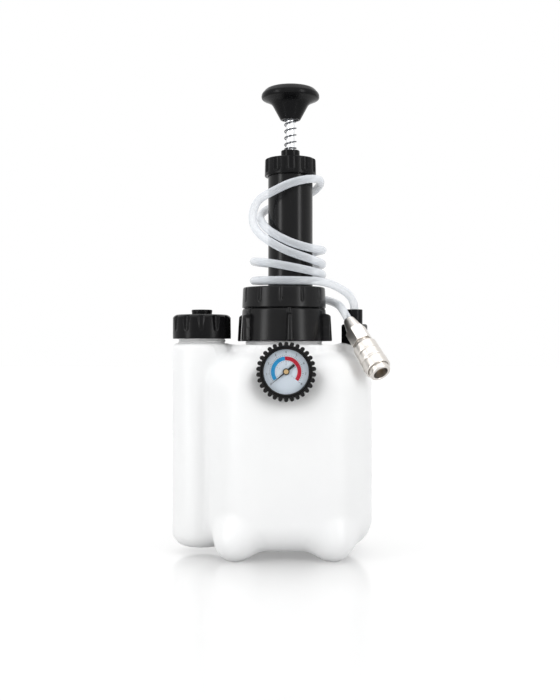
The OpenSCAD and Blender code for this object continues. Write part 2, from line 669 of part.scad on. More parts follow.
// Plunger: knob, rod, piston, cup, washer and nut
module plunger_rod() color(chrome) at_pump() {
    disc(rod_r, piston_low + piston_t, knob_low + 0.7 * knob_h);
    disc(stub_r, piston_low - cup_t - washer_t - piston_nut_t - 2, piston_low + piston_t + eps);
}
module knob_side() {
    crown = knob_low + knob_h;
    shoulder = crown - 0.084 * knob_h;
    crown_r = 0.84 * knob_r;
    dome_r = (pow(crown_r, 2) + pow(crown - shoulder, 2)) / (2 * (crown - shoulder));
    polygon([[0, knob_low], [0.34 * knob_r, knob_low], [0.65 * knob_r, crown - 0.507 * knob_h],
        [0.88 * knob_r, crown - 0.412 * knob_h], [0.975 * knob_r, crown - 0.385 * knob_h],
        [knob_r, crown - 0.355 * knob_h], [knob_r, crown - 0.254 * knob_h], [crown_r, shoulder],
        [0, shoulder]]);
    intersection() {
        translate([0, crown - dome_r]) circle(dome_r);
        translate([0, shoulder - eps]) square([crown_r, knob_h]);
    }
}
module knob() color(pump_black) at_pump() difference() {
    rotate_extrude() knob_side();
    disc(spring_r + 2, knob_low - eps, spring_top + washer_t + free_gap);
    disc(rod_r + seat_gap, knob_low, knob_low + 0.7 * knob_h);
}
module piston() color(pump_black) at_pump()
    tube(piston_r, stub_r + seat_gap, piston_low, piston_low + piston_t);
module piston_cup() color(rubber_black) at_pump() difference() {
    disc(barrel_bore_r - free_gap, piston_low - cup_t - 4, piston_low);
    disc(stub_r + seat_gap, piston_low - cup_t - 5, piston_low + eps);
    translate([0, 0, piston_low - cup_t - 5])
        cylinder(r1 = barrel_bore_r - 1.6, r2 = barrel_bore_r - 4, h = 5);
}
module piston_washer() color(spring_steel) at_pump()
    tube(4 * stub_r, stub_r + seat_gap, piston_low - cup_t - washer_t, piston_low - cup_t);
module piston_nut() color(spring_steel) at_pump()
    hex_nut(4 * stub_r - 2, stub_r + seat_gap, piston_low - cup_t - washer_t - piston_nut_t,
        piston_low - cup_t - washer_t);

// Gauge: toothed rubber boot, case, dial, lens and bezel, with its movement and stem
module gauge_boot() color(rubber_black) at_gauge() difference() {
    linear_extrude(boot_l) {
        circle(boot_r);
        for (i = [0:boot_teeth - 1]) rotate(360 * (i + 0.5) / boot_teeth) {
            translate([boot_r - eps, -tooth_w / 2]) square([tooth_h - tooth_w / 2 + eps, tooth_w]);
            translate([boot_r + tooth_h - tooth_w / 2, 0]) circle(tooth_w / 2);
        }
    }
    disc(case_r + 1.1, boot_back_t, boot_l + eps);
    disc(stem_bore_r, -eps, boot_back_t + eps);
}
module gauge_case() color(spring_steel) at_gauge() difference() {
    disc(case_r, boot_back_t, lens_z);
    disc(case_r - case_flange, stem_plate_z, lens_z + eps);
    disc(case_r - case_wall, dial_z, lens_z + eps);
    disc(stem_bore_r, boot_back_t - eps, stem_plate_z + eps);
}
module gauge_bezel() color(rubber_black) at_gauge() difference() {
    union() {
        disc(case_r + 1, dial_z, lens_z + lens_t + 0.5);
        translate([0, 0, lens_z + lens_t + 0.5]) cylinder(r1 = case_r + 1, r2 = case_r + 0.2, h = 1);
    }
    disc(case_r + seat_gap, dial_z - eps, lens_z + lens_t);
    translate([0, 0, lens_z + lens_t - 0.5]) cylinder(r1 = face_r, r2 = face_r + 0.9, h = 2.01);
}
module gauge_lens() color(clear_plastic) at_gauge() disc(case_r - seat_gap, lens_z, lens_z + lens_t);
module gauge_dial() color(dial_white) at_gauge()
    tube(case_r - case_wall - seat_gap, arbor_r + 0.6, dial_z, dial_z + 0.5);
module gauge_movement() color(brass) at_gauge() {
    tube(8, arbor_r + run_gap, movement_z, movement_z + 1);
    for (x = [-6, 6]) translate([x, 0, 0]) disc(1.2, stem_plate_z + 2, movement_z + 0.1);
    rotate(30) translate([6, -1.2, movement_z]) cube([6, 2.4, 1]);
}
module bourdon_tube() color(brass) at_gauge() translate([0, 0, stem_plate_z + 2]) rotate(-12)
    rotate_extrude(angle = 262) translate([stem_plate_l - 2.3, 0]) square([1.6, 3.2]);
module gauge_stem() color(brass) at_gauge() {
    disc(stem_r, -gauge_boss_l - washer_t - stem_nut_t - 2, stem_plate_z + eps);
    disc(9, stem_plate_z, stem_plate_z + 2);
    translate([0, -3, stem_plate_z]) cube([stem_plate_l, 6, 2]);
}
module gauge_washer() color(seal_grey) at_gauge()
    tube(stem_r + 3.5, stem_bore_r, -gauge_boss_l - washer_t, -gauge_boss_l);
module gauge_nut() color(brass) at_gauge()
    hex_nut(2 * stem_r + 5, stem_bore_r, -gauge_boss_l - washer_t - stem_nut_t, -gauge_boss_l - washer_t);
module gauge_needle() color(rubber_black) at_gauge() difference() {
    union() {
        rotate(needle_zero) translate([0, 0, needle_z + 0.3]) linear_extrude(0.6)
            polygon([[needle_l, 0], [0, 0.9], [-10, 1.3], [-10, -1.3], [0, -0.9]]);
        disc(3.2, needle_z, needle_z + 1);
    }
    disc(arbor_r + seat_gap, needle_z - eps, needle_z + 2);
}
module needle_hub() color(brass) at_gauge() {
    disc(arbor_r, movement_z + 0.1, needle_z + 1.1);
    disc(2.2, needle_z + 1, needle_z + 1.5);
}

// Outlet: a hexagon with a hose socket on top, a sealing washer, a dip tube and its filter
module outlet_fitting() color(pump_black) at_outlet() difference() {
    union() {
        intersection() {
            translate([0, 0, outlet_z]) rotate(10) cylinder(r = outlet_hex_r, h = outlet_hex_h, $fn = 6);
            translate([0, 0, outlet_z])
                cylinder(r1 = outlet_hex_r + outlet_hex_h / 2, r2 = 0.9 * outlet_hex_r, h = outlet_hex_h);
        }
        disc(outlet_socket_r, outlet_z, outlet_top);
        disc(outlet_shank_r, tank_top - 0.4 * shoulder_r, outlet_z + eps);
    }
    disc(hose_bore / 2, tank_top - shoulder_r, outlet_top);
    disc(hose_r + 2 * seat_gap, outlet_top - hose_plug, outlet_top + eps);
    disc(dip_r + seat_gap, tank_top - shoulder_r, seat_top - 4);
}
module outlet_washer() color(seal_grey) at_outlet()
    tube(outlet_seat_r - 4, outlet_shank_r + seat_gap, seat_top, outlet_z);
module dip_tube() color(hose_milk) at_outlet() tube(dip_r, dip_r - 1, dip_low + 4, seat_top - 4);
module dip_filter() color(pump_black) at_outlet() difference() {
    disc(filter_r, dip_low, dip_low + 12);
    disc(dip_r + seat_gap, dip_low + 4, dip_low + 13);
    disc(dip_r - 1, dip_low + 2, dip_low + 5);
    for (turn = [0:60:300], z = [dip_low + 3]) rotate(turn) translate([0, 0, z]) rotate([0, 90, 0])
        cylinder(r = 0.7, h = 2 * dip_r + 2);
}

// Hose: one tube along its route, wound round the pump
module hose() color(hose_milk) in_frame() {
    fine = smooth_route(hose_route, gap_steps);
    length = [for (i = [1:len(fine) - 1]) norm(fine[i] - fine[i - 1])];
    echo(hose_length = length * [for (i = length) 1]);
    echo(hose_gap = least_gap(fine, hose_d, 4 * gap_steps));
    swept_tube(smooth_route(hose_route, hose_steps), hose_r, hose_sides);
}

// Coupler: hose tail, socket body with a poppet valve, locking balls and a sprung sleeve
module coupler_tail() color(nickel) at_coupler() difference() {
    union() {
        cylinder(r1 = hose_r + 1.6, r2 = 8.6, h = tail_cone_l);
        translate([0, 0, tail_cone_l]) cylinder(r = tail_hex_r, h = tail_l - tail_cone_l - 1.5, $fn = 6);
        disc(7.6, tail_cone_l, tail_l);
    }
    disc(hose_r + 2 * seat_gap, -eps, hose_plug);
    disc(hose_bore / 2, 0, tail_l + eps);
}
module coupler_body() color(nickel) at_coupler() difference() {
    mouth = tail_l + body_l;
    union() {
        disc(coupler_r, tail_l, nose_low + eps);
        disc(spring_room_r - run_gap, sleeve_spring_z - seat_flange_t, sleeve_spring_z);
        rotate_extrude() polygon([[0, nose_low], [nose_r - 0.8, nose_low], [nose_r, nose_low + 0.8],
            [nose_r, mouth - 1], [nose_r - 1, mouth], [0, mouth]]);
    }
    disc(socket_r, mouth - socket_lip, mouth + eps);
    disc(socket_r + 0.6, mouth - socket_lip - 7, mouth - socket_lip);
    disc(socket_r - 0.8, mouth - socket_l, mouth - socket_lip - 6);
    disc(hose_bore / 2, tail_l - eps, mouth);
    disc(valve_r + 2 * free_gap, valve_room_z, valve_seat_z);
    disc(valve_r - 1, valve_seat_z - eps, mouth - socket_l + eps);
    for (i = [0:ball_count - 1]) rotate(360 * (i + 0.5) / ball_count)
        translate([coupler_r - 2 * ball_r, 0, mouth - ball_depth])
            rotate([0, 90, 0]) cylinder(r = ball_r + seat_gap, h = 3 * ball_r);
}
module coupler_sleeve() color(nickel) at_coupler() translate([0, 0, sleeve_low]) difference() {
    rotate_extrude() polygon([[0, 0], [0.86 * sleeve_r, 0], [0.95 * sleeve_r, 0.05 * sleeve_l],
        [0.95 * sleeve_r, 0.28 * sleeve_l], [0.9 * sleeve_r, 0.31 * sleeve_l],
        [0.9 * sleeve_r, 0.34 * sleeve_l], [0.97 * sleeve_r, 0.37 * sleeve_l],
        [0.97 * sleeve_r, 0.6 * sleeve_l], [0.91 * sleeve_r, 0.63 * sleeve_l],
        [0.91 * sleeve_r, 0.66 * sleeve_l], [sleeve_r, 0.7 * sleeve_l], [sleeve_r, sleeve_l - 2],
        [sleeve_r - 1, sleeve_l], [0, sleeve_l]]);
    disc(coupler_r + run_gap, -eps, sleeve_l + eps);
    disc(spring_room_r, -eps, sleeve_l - land_l);
    disc(nose_r + free_gap, sleeve_l - sleeve_mouth_l, sleeve_l + eps);
}
module sleeve_spring() color(spring_steel) at_coupler() {
    wire = helix(spring_room_r - sleeve_wire / 2 - seat_gap, sleeve_wire, sleeve_spring_l - 2 * seat_gap,
        sleeve_turns, 2 * spring_rings);
    echo(sleeve_spring_gap = least_gap(wire, sleeve_wire, 2 * spring_rings));
    translate([0, 0, sleeve_spring_z + seat_gap]) swept_tube(wire, sleeve_wire / 2, spring_sides);
}
module coupler_balls() color(chrome) at_coupler()
    for (i = [0:ball_count - 1]) rotate(360 * (i + 0.5) / ball_count)
        translate([coupler_r - ball_r - seat_gap, 0, tail_l + body_l - ball_depth]) sphere(ball_r);
module coupler_valve() color(brass) at_coupler() {
    disc(valve_r, valve_seat_z - free_gap - valve_head_t, valve_seat_z - free_gap);
    disc(valve_r - 1.8, valve_seat_z - eps, valve_seat_z + 7);
}
module valve_spring() color(spring_steel) at_coupler() {
    length = valve_seat_z - free_gap - valve_head_t - valve_room_z - 2 * seat_gap;
    wire = helix(valve_r - valve_wire, valve_wire, length, 5, spring_rings);
    echo(valve_spring_gap = least_gap(wire, valve_wire, spring_rings));
    translate([0, 0, valve_room_z + seat_gap]) swept_tube(wire, valve_wire / 2, spring_sides);
}
module coupler_ring() color(spring_steel) at_coupler()
    tube(nose_r - seat_gap, coupler_r + seat_gap, nose_low - 1.9, nose_low - 0.5);

tank();
tank_base();
tank_shoulder();
waste_tank();
tank_feet();
waste_cap();
waste_liner();
lid_nut();
neck_gasket();
pump_bonnet();
pump_ring();
pump_barrel();
barrel_seal();
check_valve_seat();
check_valve_disc();
check_valve_screw();
pump_cap();
pump_collar();
rod_bush();
rod_seal();
buffer_spring();
spring_washer();
plunger_rod();
knob();
piston();
piston_cup();
piston_washer();
piston_nut();
gauge_boot();
gauge_case();
gauge_bezel();
gauge_lens();
gauge_dial();
gauge_movement();
bourdon_tube();
gauge_stem();
gauge_washer();
gauge_nut();
gauge_needle();
needle_hub();
outlet_fitting();
outlet_washer();
dip_tube();
dip_filter();
hose();
coupler_tail();
coupler_body();
coupler_sleeve();
sleeve_spring();
coupler_balls();
coupler_valve();
valve_spring();
coupler_ring();
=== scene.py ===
"""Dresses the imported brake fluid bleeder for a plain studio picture.

Lengths in the classes are millimetres from the neck's axis at floor level. A Place turns them into metres
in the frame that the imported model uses, so that every finished object sits at the origin with its place in
its mesh.
"""

from __future__ import annotations

import logging
import math
from dataclasses import dataclass
from enum import Enum
from functools import cache
from typing import Any, Callable, Mapping, Optional, Sequence

import bpy
import numpy as np
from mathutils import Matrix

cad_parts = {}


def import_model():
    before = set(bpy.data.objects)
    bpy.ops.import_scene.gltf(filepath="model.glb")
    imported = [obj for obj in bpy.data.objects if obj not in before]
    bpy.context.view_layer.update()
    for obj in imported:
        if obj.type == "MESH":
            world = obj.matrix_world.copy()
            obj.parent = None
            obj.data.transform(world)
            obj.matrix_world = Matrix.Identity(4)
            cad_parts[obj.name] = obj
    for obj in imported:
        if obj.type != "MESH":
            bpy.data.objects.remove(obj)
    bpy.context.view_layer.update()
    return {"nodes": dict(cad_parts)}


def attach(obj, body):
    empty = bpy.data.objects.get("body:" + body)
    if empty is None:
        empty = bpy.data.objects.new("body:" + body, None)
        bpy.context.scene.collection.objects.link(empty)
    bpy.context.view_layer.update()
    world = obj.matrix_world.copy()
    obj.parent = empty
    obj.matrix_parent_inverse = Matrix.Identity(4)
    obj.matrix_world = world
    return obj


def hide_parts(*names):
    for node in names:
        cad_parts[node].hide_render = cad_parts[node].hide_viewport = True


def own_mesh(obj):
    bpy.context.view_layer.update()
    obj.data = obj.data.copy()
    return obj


log = logging.getLogger("bleeder")

MM = 0.001
TINY = 1e-6
SLACK = 0.01
FAR_OUT = 10.0
FULL_TURN = 2.0 * math.pi
QUARTER = math.pi / 2
NECK_AT = (12.5, 7.0, 0.0)

EASE_SHARE = 0.48
CRISP_ANGLE = 38.0
PLASTIC_IOR = 1.45
SUBSURFACE_REACH = (0.012, 0.012, 0.012)
BUMP_DEPTH = 0.0004

Colour = tuple[float, float, float]
Corner = tuple[float, float, float]
Shape = Callable[[np.ndarray, np.ndarray, np.ndarray], np.ndarray]
Wire = tuple[bpy.types.Node, str, bpy.types.Node, str | int]


class Body(Enum):
    """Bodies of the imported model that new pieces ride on."""

    FIXED = "bleeder"
    PLUNGER = "plunger"
    WASTE_LID = "waste_lid"
    SLEEVE = "sleeve"


class Pattern(Enum):
    """Marks that a maker's process leaves on a surface."""

    MOULDED = "moulded"
    TURNED = "turned"
    PRINTED = "printed"


@dataclass(frozen=True)
class Place:
    """A seat for a sub-assembly: an origin in neck coordinates and a turn."""

    origin: Corner = (0.0, 0.0, 0.0)
    tilt: float = 0.0
    turn: float = 0.0
    faces_front: bool = False

    def rotation(self) -> np.ndarray:
        """Matrix that tips about Y by the tilt and then turns about Z, or that lays Z along the front.

        Returns:
            A 3 by 3 rotation matrix.
        """
        if self.faces_front:
            return np.array([[1.0, 0.0, 0.0], [0.0, 0.0, -1.0], [0.0, 1.0, 0.0]])
        a = math.radians(self.tilt)
        b = math.radians(self.turn)
        about_y = np.array([[math.cos(a), 0, math.sin(a)], [0, 1, 0], [-math.sin(a), 0, math.cos(a)]])
        about_z = np.array([[math.cos(b), -math.sin(b), 0], [math.sin(b), math.cos(b), 0], [0, 0, 1]])
        return about_z @ about_y

    def in_frame(self, points: np.ndarray) -> np.ndarray:
        """Points of this seat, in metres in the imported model's frame.

        Args:
            points: Array whose last axis holds x, y and z in millimetres.

        Returns:
            Array of the same form.
        """
        return (points @ self.rotation().T + np.array(self.origin) + np.array(NECK_AT)) * MM


PUMP_X = 6.4
HOSE_PLUG = 8.5
SOCKET_TOP = 241.3
NECK = Place()
PUMP = Place((PUMP_X, 0.0, 0.0))
WASTE = Place((-82.0, 0.0, 0.0))
OUTLET = Place((70.4, 0.0, 0.0))
GAUGE = Place((2.0, -60.0, 181.0), faces_front=True)
COUPLER = Place((63.7, -18.0, 230.0), tilt=135.4, turn=-56.8)


class MeshMaker:
    """Gathers grids of points and puts them into one mesh."""

    def __init__(self, name: str) -> None:
        """Starts an empty piece with this name."""
        self.name = name
        self.points: list[np.ndarray] = []
        self.faces: list[np.ndarray] = []
        self.count = 0

    def _take(self, points: np.ndarray) -> np.ndarray:
        """Keeps points and returns their numbers in the mesh.

        Args:
            points: Array of n by 3.

        Returns:
            The n numbers.
        """
        numbers = np.arange(self.count, self.count + len(points))
        self.points.append(points)
        self.count += len(points)
        return numbers

    def grid(self, points: np.ndarray, loop: bool = False, capped: bool = False) -> MeshMaker:
        """Adds a surface on a grid whose first axis goes round and closes on itself.

        Args:
            points: Array of round by along by 3.
            loop: True where the second axis closes on itself too.
            capped: Whether the first and the last ring are closed by a fan to their middle.

        Returns:
            This maker.
        """
        around, along = points.shape[:2]
        numbers = self._take(points.reshape(-1, 3)).reshape(around, along)
        beside = np.roll(numbers, -1, axis=0)
        last = along if loop else along - 1
        above = [np.roll(side, -1, axis=1)[:, :last] for side in (beside, numbers)]
        self.faces.append(np.stack([numbers[:, :last], beside[:, :last], *above], axis=-1).reshape(-1, 4))
        if capped:
            for row, first, second in ((0, beside, numbers), (-1, numbers, beside)):
                middle = self._take(points[:, row].mean(axis=0)[None])
                fan = [first[:, row], second[:, row], np.repeat(middle, around)]
                self.faces.append(np.stack(fan, axis=-1))
        return self

    def lathe(self, corners: Sequence[Corner], spacing: float, theta: np.ndarray,
              shape: Optional[Shape] = None, tip: Optional[float] = None, steps: int = 6) -> MeshMaker:
        """Adds the surface of an eased outline that turns about Z.

        Args:
            corners: Rows of radius, height and easing length.
            spacing: Largest step along the outline.
            theta: Angles of the turn.
            shape: Function of angle, radius and height that gives the radius.
            tip: How far the ends of an open outline lie off the axis. Without it the outline is closed.
            steps: Points on each eased corner.

        Returns:
            This maker.
        """
        closed = tip is None
        line = rounded(corners, steps, closed)
        if not closed:
            line[[0, -1], 0] = tip
        points = turned(even_steps(line, spacing, closed), theta, shape)
        return self.grid(points, loop=closed, capped=not closed)

    def blocks(self, corners: np.ndarray) -> None:
        """Adds closed six-sided blocks.

        Args:
            corners: Array of n by 8 by 3, the lower four counter-clockwise and then the upper four.
        """
        numbers = self._take(corners.reshape(-1, 3)).reshape(-1, 8)
        sides = [[3, 2, 1, 0], [4, 5, 6, 7], [0, 1, 5, 4], [1, 2, 6, 5], [2, 3, 7, 6], [3, 0, 4, 7]]
        self.faces.append(numbers[:, np.array(sides)].reshape(-1, 4))

    def finish(self, place: Place, body: Body, finish: Finish, sharp: float = CRISP_ANGLE,
               replaces: Sequence[str] = ()) -> bpy.types.Object:
        """Makes the object, dresses it and lets it ride on its body.

        Args:
            place: Seat whose coordinates the points are in.
            body: Body that the piece moves with.
            finish: Its surface.
            sharp: Angle in degrees past which an edge stays crisp.
            replaces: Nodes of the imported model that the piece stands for.

        Returns:
            The object.
        """
        mesh = bpy.data.meshes.new(self.name)
        points = place.in_frame(np.concatenate(self.points))
        loops = np.concatenate([f.ravel() for f in self.faces])
        sizes = np.concatenate([np.full(len(f), f.shape[1]) for f in self.faces])
        mesh.vertices.add(len(points))
        mesh.vertices.foreach_set("co", points.astype(np.float32).ravel())
        mesh.loops.add(len(loops))
        mesh.loops.foreach_set("vertex_index", loops.astype(np.int32))
        mesh.polygons.add(len(sizes))
        mesh.polygons.foreach_set("loop_start", (np.cumsum(sizes) - sizes).astype(np.int32))
        mesh.polygons.foreach_set("use_smooth", np.ones(len(sizes), dtype=bool))
        mesh.update(calc_edges=True)
        mesh.validate()
        mesh.set_sharp_from_angle(angle=math.radians(sharp))
        piece = bpy.data.objects.new(self.name, mesh)
        bpy.context.scene.collection.objects.link(piece)
        dress(piece, finish)
        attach(piece, body.value)
        if replaces:
            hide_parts(*replaces)
        log.info("%s: %d faces on %s", self.name, len(sizes), body.value)
        return piece


def dress(piece: bpy.types.Object, finish: Finish) -> None:
    """Gives an object a finish.

    Args:
        piece: Object with a mesh.
        finish: Its surface.
    """
    piece.data.materials.clear()
    piece.data.materials.append(finish.material())


def angles(count: int) -> np.ndarray:
    """Even angles round a full turn, in radians."""
    return np.arange(count) * (FULL_TURN / count)


def rounded(corners: Sequence[Corner], steps: int = 6, closed: bool = False) -> np.ndarray:
    """Outline with eased corners: near one it follows the parabola that touches both of its sides.

    Args:
        corners: Rows of radius, height and easing length.
        steps: Points on each eased corner.
        closed: Whether the outline joins up with its start.

    Returns:
        Array of points by 2.
    """
    at = np.array([c[:2] for c in corners], dtype=float)
    ease = np.array([c[2] for c in corners], dtype=float)
    sides = [np.roll(at, step, axis=0) - at for step in (1, -1)]
    lengths = [np.maximum(np.linalg.norm(side, axis=1), TINY) for side in sides]
    cut = np.minimum(ease, EASE_SHARE * np.minimum(*lengths))
    if not closed:
        cut[[0, -1]] = 0.0
    start, end = (at + side * (cut / length)[:, None] for side, length in zip(sides, lengths))
    t = np.linspace(0.0, 1.0, steps)[None, :, None]
    arcs = (1 - t) ** 2 * start[:, None] + 2 * t * (1 - t) * at[:, None] + t ** 2 * end[:, None]
    line = arcs.reshape(-1, 2)
    step = np.linalg.norm(np.diff(line, axis=0), axis=1)
    return line[np.concatenate([[True], step > TINY])]


def even_steps(line: np.ndarray, spacing: float, closed: bool = False) -> np.ndarray:
    """Outline with points added so that none lie further apart than the spacing; its own points stay.

    Args:
        line: Array of points by 2.
        spacing: Largest step.
        closed: Whether the last point joins the first.

    Returns:
        Array of points by 2.
    """
    ends = np.concatenate([line, line[:1]]) if closed else line
    length = np.linalg.norm(np.diff(ends, axis=0), axis=1)
    parts = np.maximum(1, np.ceil(length / spacing)).astype(int)
    owner = np.repeat(np.arange(len(parts)), parts)
    first = np.repeat(np.cumsum(parts) - parts, parts)
    share = (np.arange(parts.sum()) - first) / parts[owner]
    inner = ends[owner] + (ends[owner + 1] - ends[owner]) * share[:, None]
    return inner if closed else np.concatenate([inner, line[-1:]])


def turned(profile: np.ndarray, theta: np.ndarray, shape: Optional[Shape] = None,
           shift: Optional[np.ndarray] = None) -> np.ndarray:
    """Surface swept by an outline that turns about Z; a shape may push its radius in or out.

    Args:
        profile: Array of radius and height.
        theta: Angles of the turn.
        shape: Function of angle, radius and height that gives the radius.
        shift: How far each point's circle lies off the axis, along X.

    Returns:
        Array of angles by points by 3.
    """
    a = theta[:, None]
    r = np.broadcast_to(profile[None, :, 0], (len(theta), len(profile)))
    z = np.broadcast_to(profile[None, :, 1], r.shape)
    if shape is not None:
        r = shape(np.broadcast_to(a, r.shape), r, z)
    x = r * np.cos(a) + (0.0 if shift is None else shift[None, :])
    return np.stack([x, r * np.sin(a), z], axis=-1)


def soft_max(a: np.ndarray, b: np.ndarray, k: float) -> np.ndarray:
    """Larger of two values, with a fillet of about k where they meet."""
    return np.maximum(a, b) + np.maximum(k - np.abs(a - b), 0.0) ** 2 / (4.0 * k)


def soft_min(a: np.ndarray, b: np.ndarray, k: float) -> np.ndarray:
    """Smaller of two values, with a fillet of about k where they meet."""
    return -soft_max(-a, -b, k)


def off_nearest(theta: np.ndarray, count: int, phase: float) -> np.ndarray:
    """Angle from the nearest of evenly spaced places.

    Args:
        theta: Angles in radians.
        count: Number of places in a turn.
        phase: Angle of one of them, in degrees.

    Returns:
        Signed angles in radians.
    """
    pitch = FULL_TURN / count
    return (theta - math.radians(phase) + pitch / 2) % pitch - pitch / 2


def hexagon(theta: np.ndarray, corner_r: float, turn: float = 0.0) -> np.ndarray:
    """Radius of a hexagon: a flat's distance over the cosine of the angle from it."""
    return corner_r * math.cos(math.pi / 6) / np.cos(off_nearest(theta, 6, turn + 30.0))


def post_reach(off: np.ndarray, axis_r: np.ndarray | float, post_r: np.ndarray, near: bool) -> np.ndarray:
    """Radius at which a ray from the axis meets an upright post: c cos -/+ sqrt(r^2 - c^2 sin^2).

    Args:
        off: Angle of the ray from the post.
        axis_r: Distance of the post from the axis.
        post_r: Radius of the post.
        near: Whether the near side is wanted, or the far side.

    Returns:
        The radius. Past the post it is far out for the near side, and zero for the far side.
    """
    under = post_r ** 2 - (axis_r * np.sin(off)) ** 2
    half = np.sqrt(np.maximum(under, 0.0))
    middle = axis_r * np.cos(off)
    if near:
        return np.where(under > 0, middle - half, FAR_OUT * axis_r)
    return np.where(under > 0, middle + half, 0.0)


def swept_tube(path: np.ndarray, sideways: np.ndarray, radius: float, sides: int) -> np.ndarray:
    """Tube round a path: circles square to it, each started from a sideways direction made square to it.

    Args:
        path: Array of points by 3.
        sideways: Array of directions, one for each point.
        radius: Radius of the tube.
        sides: Points on each circle.

    Returns:
        Array of sides by points by 3.
    """
    along = np.gradient(path, axis=0)
    along = along / np.linalg.norm(along, axis=1)[:, None]
    out = sideways - np.sum(sideways * along, axis=1)[:, None] * along
    out = out / np.linalg.norm(out, axis=1)[:, None]
    across = np.cross(along, out)
    a = angles(sides)[:, None, None]
    return path[None] + radius * (np.cos(a) * out[None] + np.sin(a) * across[None])


def smooth_route(points: np.ndarray, steps: int) -> np.ndarray:
    """Curve through points by cubic spans whose slope at a point is half the way between its neighbours.

    Args:
        points: Array of points by 3.
        steps: Steps in each span.

    Returns:
        Array of points by 3.
    """
    p = np.concatenate([[2 * points[0] - points[1]], points, [2 * points[-1] - points[-2]]])
    a, b, c, d = p[:-3, None], p[1:-2, None], p[2:-1, None], p[3:, None]
    t = (np.arange(steps) / steps)[None, :, None]
    square = (2 * a - 5 * b + 4 * c - d) * t ** 2
    cube = (3 * b - a - 3 * c + d) * t ** 3
    spans = 0.5 * (2 * b + (c - a) * t + square + cube)
    return np.concatenate([spans.reshape(-1, 3), points[-1:]])


def set_inputs(node: bpy.types.Node, values: Mapping[Any, Any]) -> None:
    """Puts plain values on a node's sockets.

    Args:
        node: Node to set.
        values: Value for each socket, by its name or number.
    """
    for socket, value in values.items():
        node.inputs[socket].default_value = value


def add_node(tree: bpy.types.NodeTree, kind: str, values: Optional[Mapping[Any, Any]] = None,
             operation: Optional[str] = None, group: Optional[bpy.types.NodeTree] = None) -> bpy.types.Node:
    """Adds a node with plain values on its sockets.

    Args:
        tree: Tree that it goes into.
        kind: Its type.
        values: Value for each socket, by its name or number.
        operation: What a maths node works out.
        group: Tree that a group node shows.

    Returns:
        The node.
    """
    node = tree.nodes.new(kind)
    if operation is not None:
        node.operation = operation
    if group is not None:
        node.node_tree = group
    set_inputs(node, values or {})
    return node


def wire(tree: bpy.types.NodeTree, *links: Wire) -> None:
    """Links outputs to inputs.

    Args:
        tree: Tree that holds the nodes.
        links: Rows of a node, its output, the next node and its input.
    """
    for source, output, target, socket in links:
        tree.links.new(source.outputs[output], target.inputs[socket])


